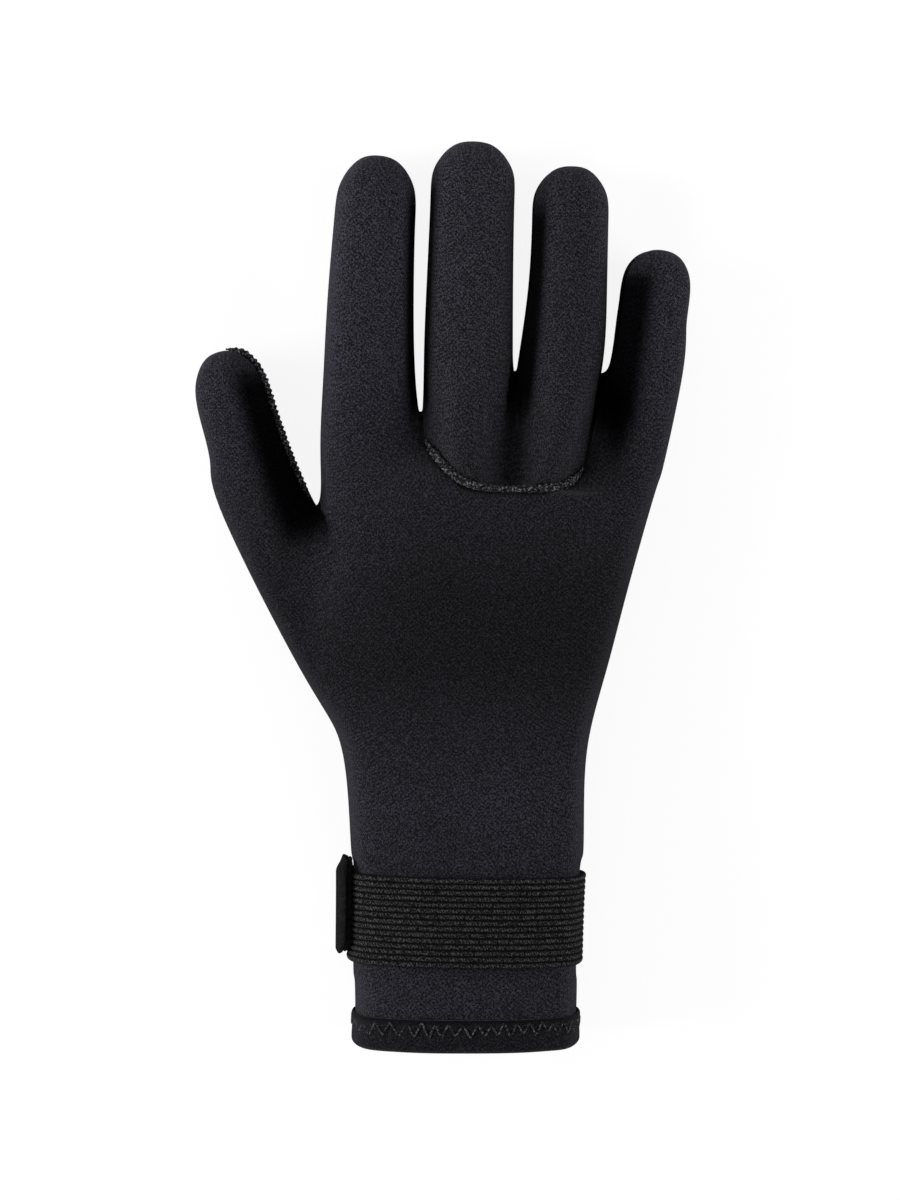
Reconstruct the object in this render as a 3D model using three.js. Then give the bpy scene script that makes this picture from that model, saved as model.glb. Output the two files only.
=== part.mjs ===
// A right-hand diving glove of neoprene, lying on its palm with its back up.
// Millimetres, +Z up. +Y runs to the fingertips and +X to the little finger.
// A coarse net of four-sided faces is worked out from the tables below, rounded once, given the
// thickness of the neoprene and parted along its seams into the three panels it is sewn from.
import * as THREE from 'three';

// Neoprene and clearances
const wall = 3;
const gap = 0.3;
// How far each panel's rim is drawn in at a seam: a little over half the gap, for its corners
const seamInset = 0.55 * gap;

// Hand, from the knuckle line to the wrist, and cuff, from the wrist to the edge
const palmLength = 103;
const palmWidth = 96;
const palmDepth = 33;
const wristWidth = 68.5;
const wristDepth = 38.5;
const cuffLength = 69.5;
const cuffWidth = 64.5;
const cuffDepth = 40;

// Digits, from the start of each to its tip
const indexLength = 82.7;
const indexWidth = 28.7;
const middleLength = 89.7;
const middleWidth = 26.9;
const ringLength = 85.6;
const ringWidth = 24.8;
const littleLength = 61.4;
const littleWidth = 22.6;
const thumbLength = 68.8;
const thumbWidth = 27.2;
const fingerDepth = 24.5;
const thumbDepth = 24;

// Wrist strap of ribbed elastic, and the fastening tab on its thumb side, whose middle lies a
// little nearer the hand than the strap's
const strapWidth = 25.4;
const strapThickness = 1.6;
const strapDistance = 21.1;
const strapSkew = 0.9;
const ribCount = 15;
const ribDepth = 0.5;
const tabLength = 27.5;
const tabReach = 23;
const tabRise = 7;
const tabAhead = 3.4;
const patchThickness = 1.2;
const patchShare = 0.96;
const tabThickness = 1.4;

// Hem binding round the cuff's edge, and the raised seams
const hemHeight = 8.5;
const hemThickness = 0.8;
const hemRound = 0.36;
const seamWidth = 2;
const seamHeight = 1;
const seamLift = 2 * gap;

// How far the glove settles into the surface it lies on, which flattens it there
const settle = 0.8;
// The trim under the cuff lifts it by this much, on a slope between the wrist and the strap that
// starts and ends at shares of the way there
const cuffLift = gap + strapThickness;
const liftStart = 0.3;
const liftEnd = 0.9;

// Sections of the cuff from its edge to the wrist, as shares of the cuff's sizes
const cuffRows = [
  { along: 1.0, left: 0.497, right: 0.49, depth: 1.0 },
  { along: 0.76, left: 0.5, right: 0.496, depth: 1.0 },
  { along: 0.675, left: 0.507, right: 0.493, depth: 0.985 },
  { along: 0.315, left: 0.505, right: 0.508, depth: 0.975 },
  { along: 0.225, left: 0.516, right: 0.526, depth: 0.965 },
];

// Sections of the hand from the wrist to the knuckles, as shares of the palm's sizes. The thumb
// grows out of the side between three of them. crotch is how much further up the side between
// thumb and index finger lies, as a share of the palm's length.
const palmRows = [
  { along: 0.174, left: 0.389, right: 0.373, depth: 1.12 },
  { along: 0.363, left: 0.504, right: 0.427, depth: 1.06, thumb: 'start' },
  { along: 0.56, left: 0.52, right: 0.483, depth: 1.01, thumb: 'middle' },
  { along: 0.767, left: 0.453, right: 0.545, depth: 0.96, thumb: 'crotch', crotch: 0.061 },
  { along: 0.885, left: 0.441, right: 0.583, depth: 0.9 },
];

// Where the nine columns of the hand's back and palm lie across it, from thumb to little finger
const columnShares = [0.035, 0.145, 0.29, 0.41, 0.545, 0.665, 0.78, 0.885, 0.965];

// How far the last row of the hand dips below itself at each column, as shares of the palm's
// length: it follows the curved seam under the middle and ring fingers
const knuckleDips = [0, 0, -0.015, 0.005, 0.027, 0.025, 0.04, 0.03, 0.02];

// Where each digit starts, across and up as shares of the palm's width and length, its lean to
// the little finger's side and its further bend in degrees, its taper as a share of its width,
// the height of its knuckle as a share of the palm's depth, and the roll of its back to the
// little finger's side. Drops are how far its seams run below its sides, in degrees, start is
// the share of its length where it stands free of the hand, and flares are how much further out
// its sides lie there, as shares of its width.
const digits = {
  index: {
    across: -0.297, up: 1.009, lean: -0.8, bend: 6, length: indexLength, width: indexWidth,
    taper: 0.812, knuckle: 0.8, depth: fingerDepth, roll: 0, leftDrop: 18, rightDrop: 0,
    start: 0.22, leftFlare: 0, rightFlare: 0.01,
  },
  middle: {
    across: 0, up: 0.98, lean: 1, bend: 1.1, length: middleLength, width: middleWidth,
    taper: 0.909, knuckle: 0.87, depth: fingerDepth, roll: 0, leftDrop: 0, rightDrop: 0,
    start: 0.3, leftFlare: 0, rightFlare: 0.01,
  },
  ring: {
    across: 0.257, up: 0.952, lean: 8, bend: -8.3, length: ringLength, width: ringWidth,
    taper: 0.874, knuckle: 0.86, depth: fingerDepth, roll: 8, leftDrop: 0, rightDrop: 0,
    start: 0.349, leftFlare: 0.03, rightFlare: 0,
  },
  little: {
    across: 0.504, up: 0.954, lean: 10, bend: -4.6, length: littleLength, width: littleWidth,
    taper: 0.884, knuckle: 0.76, depth: fingerDepth, roll: 14, leftDrop: 0, rightDrop: 18,
    start: 0.43, leftFlare: 0, rightFlare: 0.054,
  },
  thumb: {
    across: -0.54, up: 0.619, lean: -19.8, bend: 6.5, length: thumbLength, width: thumbWidth,
    taper: 0.75, knuckle: 0, depth: thumbDepth, roll: -12, leftDrop: 10, rightDrop: 0,
    start: 0.31, leftFlare: 0, rightFlare: 0.044,
  },
};
const fingerNames = ['index', 'middle', 'ring', 'little'];
const insertFingers = ['middle', 'ring'];
const tipDepthShare = 0.86;

// Sections of a digit: along as a share of its free length, less back as a share of its width,
// and its girth there as a share of its tapered width
const digitSections = [
  { along: 0, back: 0, girth: 1 },
  { along: 0.35, back: 0, girth: 1 },
  { along: 1, back: 0.7, girth: 1 },
  { along: 1, back: 0.316, girth: 0.945 },
  { along: 1, back: 0.078, girth: 0.579 },
];

// The webs between the fingers: across and up as shares of the palm's width and length for the
// top of each web, for its middle and, up alone, for its underside, and the heights of its top
// and underside as shares of the depth of the knuckles
const webs = [
  {
    across: -0.127, up: 1.005, midAcross: -0.136, midUp: 1.065, lowUp: 1.071, top: 0.68, low: 0.06,
  },
  {
    across: 0.135, up: 0.905, midAcross: 0.149, midUp: 1.17, lowUp: 1.142, top: 0.7, low: 0.06,
  },
  {
    across: 0.356, up: 0.93, midAcross: 0.405, midUp: 1.159, lowUp: 1.149, top: 0.7, low: 0.04,
  },
];

// The knuckles' depth as a share of the palm's. Their outer sides reach beyond the finger's axis
// by a share of half its width, and the corners above and below keep less of that. Heights are
// shares of the knuckles' depth.
const knuckleShare = 0.86;
const knuckleSides = [
  { finger: 'index', toward: -1, reach: 0.966 },
  { finger: 'little', toward: 1, reach: 0.833 },
];
const knuckleCorner = { keep: 0.8, upper: 0.76, side: 0.4, lower: 0.08 };

// Roundness of a section: 2 is an ellipse, and more is squarer, as where the palm lies flat
const backSquareness = 2.4;
const palmSquareness = 4;
const digitSquareness = 2.15;
// Height of the seam along the hand's two sides, as a share of the depth there
const sideSeamShare = 0.38;

// The hand's sections go round over the back, the right side, the palm and the left side, and a
// digit's eight points go round from its upper left, with its seams at its right and left
const columns = columnShares.length;
const sideRight = columns;
const sideLeft = 2 * columns + 1;
const ringSize = 2 * columns + 2;
const digitRight = 3;
const digitLeft = 7;

// Half the breadth of a squarish oval at a height, both as shares of its half sizes
function ovalBreadth(height, squareness) {
  return Math.max(0, 1 - Math.abs(height) ** squareness) ** (1 / squareness);
}

// A net of faces over shared points, each face in one panel
class Net {
  constructor() {
    this.points = [];
    this.faces = [];
    this.marks = {};
  }

  addPoint(x, y, z) {
    return this.points.push(new THREE.Vector3(x, y, z)) - 1;
  }

  addFace(panel, ...corners) {
    this.faces.push({ panel, corners });
  }
}

// One section of the hand or cuff: nine columns over the back, one side, nine under, one side
function handRing(net, row) {
  const half = (row.right - row.left) / 2;
  const middle = (row.right + row.left) / 2;
  const radius = row.depth / 2;
  const ring = new Array(ringSize);
  for (let column = 0; column < columns; column += 1) {
    const x = middle + half * (2 * columnShares[column] - 1);
    const y = row.y - (row.dips ? row.dips[column] * palmLength : 0);
    const reach = 2 * columnShares[column] - 1;
    const rise = radius * ovalBreadth(reach, backSquareness);
    const fall = radius * ovalBreadth(reach, palmSquareness);
    ring[column] = net.addPoint(x, y, row.base + radius + rise);
    ring[ringSize - 2 - column] = net.addPoint(x, y, row.base + radius - fall);
  }
  const sideZ = row.base + row.depth * sideSeamShare;
  ring[sideRight] = net.addPoint(row.right, row.y, sideZ);
  if (row.thumb !== 'middle') {
    ring[sideLeft] = net.addPoint(row.left, row.y + row.crotch * palmLength, sideZ);
  }
  return ring;
}

// Centre and direction of a digit at a distance along its bent axis
function digitAxis(digit, distance) {
  const steps = 12;
  const centre = new THREE.Vector2(digit.across * palmWidth, digit.up * palmLength);
  let angle = 0;
  for (let step = 0; step < steps; step += 1) {
    const share = ((step + 0.5) / steps) * (distance / digit.length);
    angle = THREE.MathUtils.degToRad(digit.lean + digit.bend * share);
    centre.x += Math.sin(angle) * (distance / steps);
    centre.y += Math.cos(angle) * (distance / steps);
  }
  return { centre, angle };
}

// One section of a digit: eight points, from its upper left over its back and round
function digitRing(net, digit, distance, girth, flared) {
  const { centre, angle } = digitAxis(digit, distance);
  const share = distance / digit.length;
  const halfWidth = 0.5 * digit.width * girth * (1 + (digit.taper - 1) * share);
  const fullDepth = digit.depth * (1 + (tipDepthShare - 1) * share);
  const halfDepth = 0.5 * fullDepth * girth;
  const height = fullDepth / 2 - settle;
  const roll = THREE.MathUtils.degToRad(digit.roll);
  const turns = [135, 90, 45, -digit.rightDrop, -45, -90, -135, 180 + digit.leftDrop];
  const flares = [0, 0, 0, digit.rightFlare, digit.rightFlare, 0, -digit.leftFlare,
    -digit.leftFlare];
  return turns.map((degrees, place) => {
    const turn = THREE.MathUtils.degToRad(degrees);
    const cosine = Math.cos(turn);
    const sine = Math.sin(turn);
    const reach = (Math.abs(cosine) ** digitSquareness + Math.abs(sine) ** digitSquareness)
      ** (-1 / digitSquareness);
    const flare = flared ? flares[place] * digit.width : 0;
    const across = halfWidth * reach * cosine + flare;
    const up = halfDepth * reach * sine;
    const rolledAcross = across * Math.cos(roll) + up * Math.sin(roll);
    const rolledUp = up * Math.cos(roll) - across * Math.sin(roll);
    return net.addPoint(
      centre.x + Math.cos(angle) * rolledAcross,
      centre.y - Math.sin(angle) * rolledAcross,
      height + rolledUp,
    );
  });
}

// Faces between two rings, where the second lies nearer the fingertips
function joinRings(net, near, far, panelOf) {
  near.forEach((corner, place) => {
    const next = (place + 1) % near.length;
    const panel = panelOf(place);
    if (panel) {
      net.addFace(panel, corner, near[next], far[next], far[place]);
    }
  });
}

// A digit from its base ring to its closed tip, which is given back
function addDigit(net, digit, base, backPanel) {
  const panelOf = (place) => (place < digitRight || place === digitLeft
    ? backPanel : 'palm_panel');
  let ring = base;
  for (const section of digitSections) {
    const reach = digit.start + (1 - digit.start) * section.along;
    const distance = reach * digit.length - section.back * digit.width;
    const next = digitRing(net, digit, distance, section.girth, section.along === 0);
    joinRings(net, ring, next, panelOf);
    ring = next;
  }
  const { centre } = digitAxis(digit, digit.length);
  const tipHeight = (digit.depth * tipDepthShare) / 2 - settle;
  const tip = net.addPoint(centre.x, centre.y, tipHeight);
  const [topLeft, top, topRight, right, lowRight, low, lowLeft, left] = ring;
  net.addFace(backPanel, topLeft, top, tip, left);
  net.addFace(backPanel, top, topRight, right, tip);
  net.addFace('palm_panel', tip, right, lowRight, low);
  net.addFace('palm_panel', left, tip, low, lowLeft);
  return tip;
}

// The column of the palm below a column of the back
function under(column) {
  return ringSize - 2 - column;
}

// The knuckle ring, where the hand divides into four fingers, with the middles of its webs
function knuckleRing(net) {
  const ring = new Array(ringSize);
  const depth = palmDepth * knuckleShare;
  fingerNames.forEach((name, place) => {
    const digit = digits[name];
    const x = digit.across * palmWidth;
    const y = digit.up * palmLength;
    ring[2 * place + 1] = net.addPoint(x, y, digit.knuckle * palmDepth);
    ring[under(2 * place + 1)] = net.addPoint(x, y, -settle);
  });
  const middles = webs.map((web, place) => {
    const x = web.across * palmWidth;
    const y = web.up * palmLength;
    ring[2 * place + 2] = net.addPoint(x, y, web.top * depth);
    const midX = web.midAcross * palmWidth;
    ring[under(2 * place + 2)] = net.addPoint(midX, web.lowUp * palmLength, web.low * depth);
    const height = ((web.top + web.low) / 2) * depth;
    return net.addPoint(midX, web.midUp * palmLength, height);
  });
  for (const { finger, toward, reach } of knuckleSides) {
    const digit = digits[finger];
    const column = toward < 0 ? 0 : columns - 1;
    const x = digit.across * palmWidth;
    const y = digit.up * palmLength;
    const half = (toward * reach * digit.width) / 2;
    const corner = x + half * knuckleCorner.keep;
    ring[column] = net.addPoint(corner, y, depth * knuckleCorner.upper);
    ring[under(column)] = net.addPoint(corner, y, depth * knuckleCorner.lower);
    ring[toward < 0 ? sideLeft : sideRight] = net.addPoint(x + half, y,
      depth * knuckleCorner.side);
  }
  return { ring, middles };
}

// The whole outer net of the glove
function gloveNet() {
  const net = new Net();
  const rows = [];
  for (const row of cuffRows) {
    rows.push({
      y: -row.along * cuffLength, left: -row.left * cuffWidth, right: row.right * cuffWidth,
      depth: row.depth * cuffDepth, base: floorAt(-row.along * cuffLength) - settle, crotch: 0,
    });
  }
  rows.push({
    y: 0, left: -wristWidth / 2, right: wristWidth / 2, depth: wristDepth,
    base: -settle, crotch: 0,
  });
  palmRows.forEach((row, place) => {
    rows.push({
      y: row.along * palmLength, left: -row.left * palmWidth, right: row.right * palmWidth,
      depth: row.depth * palmDepth, base: -settle,
      thumb: row.thumb,
      crotch: row.crotch ?? 0,
      dips: place === palmRows.length - 1 ? knuckleDips : null,
    });
  });
  const rings = rows.map((row) => handRing(net, row));
  const [thumbLow, thumbMiddle, thumbHigh] = ['start', 'middle', 'crotch']
    .map((name) => rows.findIndex((row) => row.thumb === name));
  const sidePanel = (place) => (place < sideRight || place === sideLeft
    ? 'back_panel' : 'palm_panel');
  for (let row = 0; row + 1 < rings.length; row += 1) {
    const besideThumb = row === thumbLow || row === thumbMiddle;
    joinRings(net, rings[row], rings[row + 1], (place) => (
      besideThumb && place >= sideLeft - 1 ? null : sidePanel(place)));
  }

  const last = rings[rings.length - 1];
  const { ring: knuckles, middles } = knuckleRing(net);
  const insertStart = 2 * fingerNames.indexOf(insertFingers[0]);
  const insertEnd = insertStart + 2 * insertFingers.length;
  joinRings(net, last, knuckles, (place) => {
    if (place === insertStart || place === insertEnd - 1) {
      return null;
    }
    return place > insertStart && place < insertEnd ? 'finger_insert' : sidePanel(place);
  });
  net.addFace('back_panel', last[insertStart], last[insertStart + 1], knuckles[insertStart]);
  net.addFace('finger_insert', last[insertStart + 1], knuckles[insertStart + 1],
    knuckles[insertStart]);
  net.addFace('back_panel', last[insertEnd - 1], last[insertEnd], knuckles[insertEnd]);
  net.addFace('finger_insert', last[insertEnd - 1], knuckles[insertEnd],
    knuckles[insertEnd - 1]);

  fingerNames.forEach((name, place) => {
    const first = 2 * place;
    const right = place === fingerNames.length - 1 ? knuckles[sideRight] : middles[place];
    const left = place === 0 ? knuckles[sideLeft] : middles[place - 1];
    const base = [
      knuckles[first], knuckles[first + 1], knuckles[first + 2], right,
      knuckles[under(first + 2)], knuckles[under(first + 1)], knuckles[under(first)], left,
    ];
    const backPanel = insertFingers.includes(name) ? 'finger_insert' : 'back_panel';
    addDigit(net, digits[name], base, backPanel);
  });

  const low = rings[thumbLow];
  const middle = rings[thumbMiddle];
  const high = rings[thumbHigh];
  const thumbBase = [
    low[0], middle[0], high[0], high[sideLeft],
    high[under(0)], middle[under(0)], low[under(0)], low[sideLeft],
  ];
  const thumbTip = addDigit(net, digits.thumb, thumbBase, 'back_panel');
  net.marks = {
    insertStart: knuckles[insertStart],
    insertEnd: knuckles[insertEnd],
    thumbCrotch: high[sideLeft],
    thumbTip,
  };
  return net;
}

// Edges of a net, each with its two ends and the faces it borders
function netEdges(net) {
  const edges = new Map();
  net.faces.forEach((face, index) => {
    face.corners.forEach((start, place) => {
      const end = face.corners[(place + 1) % face.corners.length];
      const key = start < end ? `${start} ${end}` : `${end} ${start}`;
      if (!edges.has(key)) {
        edges.set(key, { ends: [Math.min(start, end), Math.max(start, end)], faces: [] });
      }
      edges.get(key).faces.push(index);
    });
  });
  return edges;
}

function average(vectors) {
  const sum = new THREE.Vector3();
  vectors.forEach((vector) => sum.add(vector));
  return sum.divideScalar(vectors.length);
}

// One round of smooth subdivision: a point for each face, one for each edge, and each old point
// drawn towards its neighbours. The old points keep their places in the list.
function subdivide(net) {
  const finer = new Net();
  finer.marks = net.marks;
  const edges = netEdges(net);
  const centres = net.faces.map((face) => average(face.corners.map((at) => net.points[at])));
  const around = net.points.map(() => ({ centres: [], middles: [], rim: [] }));
  edges.forEach(({ ends, faces }) => {
    const middle = average(ends.map((at) => net.points[at]));
    ends.forEach((at, side) => {
      around[at].middles.push(middle);
      if (faces.length === 1) {
        around[at].rim.push(net.points[ends[1 - side]]);
      }
    });
  });
  net.faces.forEach((face, index) => {
    face.corners.forEach((at) => around[at].centres.push(centres[index]));
  });
  net.points.forEach((point, at) => {
    const near = around[at];
    const count = near.middles.length;
    let place = point.clone();
    if (near.rim.length === 2) {
      place.multiplyScalar(6).add(near.rim[0]).add(near.rim[1]).divideScalar(8);
    } else {
      place.multiplyScalar(count - 3).addScaledVector(average(near.middles), 2);
      place = place.add(average(near.centres)).divideScalar(count);
    }
    finer.points.push(place);
  });
  const facePoints = centres.map((centre) => finer.addPoint(centre.x, centre.y, centre.z));
  const edgePoints = new Map();
  edges.forEach(({ ends, faces }, key) => {
    const parts = ends.map((at) => net.points[at]);
    if (faces.length === 2) {
      parts.push(...faces.map((index) => centres[index]));
    }
    const middle = average(parts);
    edgePoints.set(key, finer.addPoint(middle.x, middle.y, middle.z));
  });
  const edgePoint = (a, b) => edgePoints.get(a < b ? `${a} ${b}` : `${b} ${a}`);
  net.faces.forEach((face, index) => {
    const { corners, panel } = face;
    corners.forEach((at, place) => {
      const after = corners[(place + 1) % corners.length];
      const before = corners[(place + corners.length - 1) % corners.length];
      finer.addFace(panel, at, edgePoint(at, after), facePoints[index], edgePoint(before, at));
    });
  });
  return finer;
}

// Where each of the first points of a net of four-sided faces ends up after endless rounds
function restingPlaces(net, count) {
  const sums = net.points.slice(0, count).map(() => (
    { edge: new THREE.Vector3(), corner: new THREE.Vector3(), edges: 0, rim: [] }));
  netEdges(net).forEach(({ ends, faces }) => {
    ends.forEach((at, side) => {
      if (at < count) {
        const other = net.points[ends[1 - side]];
        sums[at].edge.add(other);
        sums[at].edges += 1;
        if (faces.length === 1) {
          sums[at].rim.push(other);
        }
      }
    });
  });
  net.faces.forEach(({ corners }) => {
    corners.forEach((at, place) => {
      if (at < count) {
        sums[at].corner.add(net.points[corners[(place + 2) % 4]]);
      }
    });
  });
  return sums.map(({ edge, corner, edges, rim }, at) => {
    const place = net.points[at].clone();
    if (rim.length === 2) {
      return place.multiplyScalar(4).add(rim[0]).add(rim[1]).divideScalar(6);
    }
    place.multiplyScalar(edges * edges).addScaledVector(edge, 4).add(corner);
    return place.divideScalar(edges * (edges + 5));
  });
}

// The net is swelled until its smooth surface passes through the points of the tables
function fitNet(net) {
  const wanted = net.points.map((point) => point.clone());
  const rounds = 6;
  for (let round = 0; round < rounds; round += 1) {
    const places = restingPlaces(subdivide(net), net.points.length);
    places.forEach((place, at) => {
      net.points[at].add(wanted[at]).sub(place);
    });
  }
  return net;
}

// Height that the underside can't go below: the surface it lies on, and the lifted cuff
function floorAt(y) {
  const start = -strapDistance * liftStart;
  const end = -strapDistance * liftEnd;
  return cuffLift * THREE.MathUtils.clamp((y - start) / (end - start), 0, 1);
}

// Outward direction of a four-sided face, as long as twice its area
function faceNormal(points, corners) {
  const [a, b, c, d] = corners.map((at) => points[at]);
  return c.clone().sub(a).cross(d.clone().sub(b));
}

// Outward direction at each point of a net
function pointNormals(net) {
  const normals = net.points.map(() => new THREE.Vector3());
  net.faces.forEach(({ corners }) => {
    const normal = faceNormal(net.points, corners);
    corners.forEach((at) => normals[at].add(normal));
  });
  return normals.map((normal) => normal.normalize());
}

// The glove's outer and inner skins, one wall apart, at points that they share
function gloveSkins() {
  const outer = subdivide(fitNet(gloveNet()));
  outer.points.forEach((point) => {
    point.z = Math.max(point.z, floorAt(point.y));
  });
  const normals = pointNormals(outer);
  const inner = outer.points.map((point, at) => {
    const place = point.clone().addScaledVector(normals[at], -wall);
    place.z = Math.max(place.z, floorAt(point.y) + wall);
    return place;
  });
  return { outer, normals, inner };
}

// A closed solid from points and its faces, each a list of corners seen from outside
function solidGeometry(points, faces) {
  const triangles = [];
  faces.forEach((corners) => {
    for (let place = 2; place < corners.length; place += 1) {
      triangles.push(corners[0], corners[place - 1], corners[place]);
    }
  });
  const geometry = new THREE.BufferGeometry().setFromPoints(points);
  geometry.setIndex(triangles);
  geometry.computeVertexNormals();
  return geometry;
}

// The rim of a panel's faces, and the direction at each of its points from there into the panel
function panelRim(points, faces) {
  const count = new Map();
  const keyOf = (start, end) => (start < end ? `${start} ${end}` : `${end} ${start}`);
  faces.forEach(({ corners }) => corners.forEach((start, place) => {
    const key = keyOf(start, corners[(place + 1) % 4]);
    count.set(key, (count.get(key) ?? 0) + 1);
  }));
  const edges = [];
  const inward = new Map();
  faces.forEach(({ corners }) => {
    const normal = faceNormal(points, corners);
    corners.forEach((start, place) => {
      const end = corners[(place + 1) % 4];
      if (count.get(keyOf(start, end)) === 1) {
        edges.push([start, end]);
        const along = points[end].clone().sub(points[start]);
        const across = normal.clone().cross(along).normalize();
        [start, end].forEach((at) => {
          inward.set(at, (inward.get(at) ?? new THREE.Vector3()).add(across));
        });
      }
    });
  });
  inward.forEach((direction) => direction.normalize());
  return { edges, inward };
}

// One panel of the glove: its share of both skins, joined by a rim all round, with the rim
// drawn in by half the seam's gap
function panelGeometry(skins, panel) {
  const { outer, inner } = skins;
  const own = outer.faces.filter((face) => face.panel === panel);
  const rim = panelRim(outer.points, own);
  const places = new Map();
  const points = [];
  const addPair = (at) => {
    if (!places.has(at)) {
      const pair = [outer.points[at].clone(), inner[at].clone()];
      if (rim.inward.has(at)) {
        pair.forEach((point) => point.addScaledVector(rim.inward.get(at), seamInset));
      }
      places.set(at, points.length);
      points.push(...pair);
    }
    return places.get(at);
  };
  const faces = [];
  own.forEach(({ corners }) => {
    const pairs = corners.map(addPair);
    faces.push(pairs, pairs.map((pair) => pair + 1).reverse());
  });
  // Both panels beside a seam split its rim along the same diagonal, so that the gap stays even
  rim.edges.forEach(([start, end]) => {
    const from = addPair(start);
    const to = addPair(end);
    faces.push(start < end ? [from, from + 1, to + 1, to] : [to, from, from + 1, to + 1]);
  });
  return solidGeometry(points, faces);
}

// The shortest way along the seam between two panels, from one point to another
function seamPath(net, panels, start, end) {
  const links = new Map();
  netEdges(net).forEach(({ ends, faces }) => {
    const sides = faces.map((index) => net.faces[index].panel);
    if (faces.length === 2 && panels.every((panel) => sides.includes(panel))) {
      ends.forEach((at, side) => {
        links.set(at, [...(links.get(at) ?? []), ends[1 - side]]);
      });
    }
  });
  const cameFrom = new Map([[start, null]]);
  const waiting = [start];
  while (waiting.length > 0 && !cameFrom.has(end)) {
    const at = waiting.shift();
    for (const next of links.get(at) ?? []) {
      if (!cameFrom.has(next)) {
        cameFrom.set(next, at);
        waiting.push(next);
      }
    }
  }
  const path = [];
  for (let at = end; at !== null; at = cameFrom.get(at)) {
    path.push(at);
  }
  return path;
}

// A solid through sections of as many points each, closed by its first and last section
function loftGeometry(sections) {
  const size = sections[0].length;
  const points = sections.flat();
  const faces = [];
  for (let row = 0; row + 1 < sections.length; row += 1) {
    for (let place = 0; place < size; place += 1) {
      const next = (place + 1) % size;
      const near = row * size;
      const far = near + size;
      faces.push([near + place, near + next, far + next, far + place]);
    }
  }
  const firstCap = sections[0].map((point, place) => place).reverse();
  const lastCap = firstCap.map((place) => points.length - 1 - place);
  faces.push(firstCap, lastCap);
  return solidGeometry(points, faces);
}

// A raised seam's section, across and up as shares of its width and height
const seamSection = [
  { across: 0, up: 0 },
  { across: -0.5, up: 0 },
  { across: -0.36, up: 0.7 },
  { across: 0, up: 1 },
  { across: 0.36, up: 0.7 },
  { across: 0.5, up: 0 },
];

// The width of a seam at its first points from either end
const seamEnds = [0.4, 0.7, 1];

// A raised seam that follows a path over the outer skin, bends with the panels at its left and
// right, and thins out at its two ends
function seamGeometry(skins, path, panels) {
  const { outer, normals } = skins;
  const [left, right] = panels.map((panel) => (
    panelRim(outer.points, outer.faces.filter((face) => face.panel === panel)).inward));
  const sections = path.map((at, place) => {
    const fromEnd = Math.min(place, path.length - 1 - place);
    const width = seamWidth * seamEnds[Math.min(fromEnd, seamEnds.length - 1)];
    return seamSection.map(({ across, up }) => outer.points[at].clone()
      .addScaledVector((across < 0 ? left : right).get(at), Math.abs(across) * width)
      .addScaledVector(normals[at], seamLift + up * seamHeight));
  });
  return loftGeometry(sections);
}

// The rings of points round the cuff, from its edge to the wrist
function cuffRings(net) {
  const edges = netEdges(net);
  const follow = new Map();
  edges.forEach(({ faces }, key) => {
    if (faces.length === 1) {
      const { corners } = net.faces[faces[0]];
      corners.forEach((start, place) => {
        const end = corners[(place + 1) % 4];
        const own = start < end ? `${start} ${end}` : `${end} ${start}`;
        if (own === key) {
          follow.set(start, end);
        }
      });
    }
  });
  const first = [...follow.keys()][0];
  let ring = [first];
  for (let at = follow.get(first); at !== first; at = follow.get(at)) {
    ring.push(at);
  }
  const rings = [ring];
  const beyond = new Map();
  net.faces.forEach(({ corners }) => corners.forEach((start, place) => {
    const end = corners[(place + 1) % 4];
    beyond.set(`${start} ${end}`, [corners[(place + 3) % 4], corners[(place + 2) % 4]]);
  }));
  for (let count = 0; count < 2 * cuffRows.length; count += 1) {
    const last = ring;
    ring = last.map((at, place) => beyond.get(`${at} ${last[(place + 1) % last.length]}`)[0]);
    rings.push(ring);
  }
  return rings.map((row) => row.map((at) => net.points[at]));
}

// The cuff's outline at a distance below the wrist, moved outwards by an offset. skew lowers the
// little finger's side by that much over the cuff's width.
function cuffOutline(rings, distance, offset, skew = 0) {
  const outline = rings[0].map((edgePoint, column) => {
    const y = -distance - (skew * edgePoint.x) / cuffWidth;
    const above = rings.findIndex((ring) => ring[column].y >= y);
    if (above < 1) {
      return new THREE.Vector3(edgePoint.x, y, edgePoint.z);
    }
    const near = rings[above - 1][column];
    const far = rings[above][column];
    return near.clone().lerp(far, (y - near.y) / (far.y - near.y));
  });
  const count = outline.length;
  const outward = outline.map((point, column) => {
    const next = outline[(column + 1) % count];
    return new THREE.Vector3(point.z - next.z, 0, next.x - point.x).normalize();
  });
  return outline.map((point, column) => {
    const both = outward[column].clone().add(outward[(column + count - 1) % count]);
    return point.clone().addScaledVector(both, (2 * offset) / both.lengthSq());
  });
}

// A closed band round the cuff. Its profile goes round its section, each step at a distance
// below the wrist and an offset from the cuff.
function bandGeometry(rings, profile, skew) {
  const sections = profile.map((step) => cuffOutline(rings, step.distance, step.offset, skew));
  const size = sections[0].length;
  const faces = [];
  sections.forEach((section, row) => {
    const near = row * size;
    const far = ((row + 1) % sections.length) * size;
    section.forEach((point, place) => {
      const next = (place + 1) % size;
      faces.push([near + place, near + next, far + next, far + place]);
    });
  });
  return solidGeometry(sections.flat(), faces);
}

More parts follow.
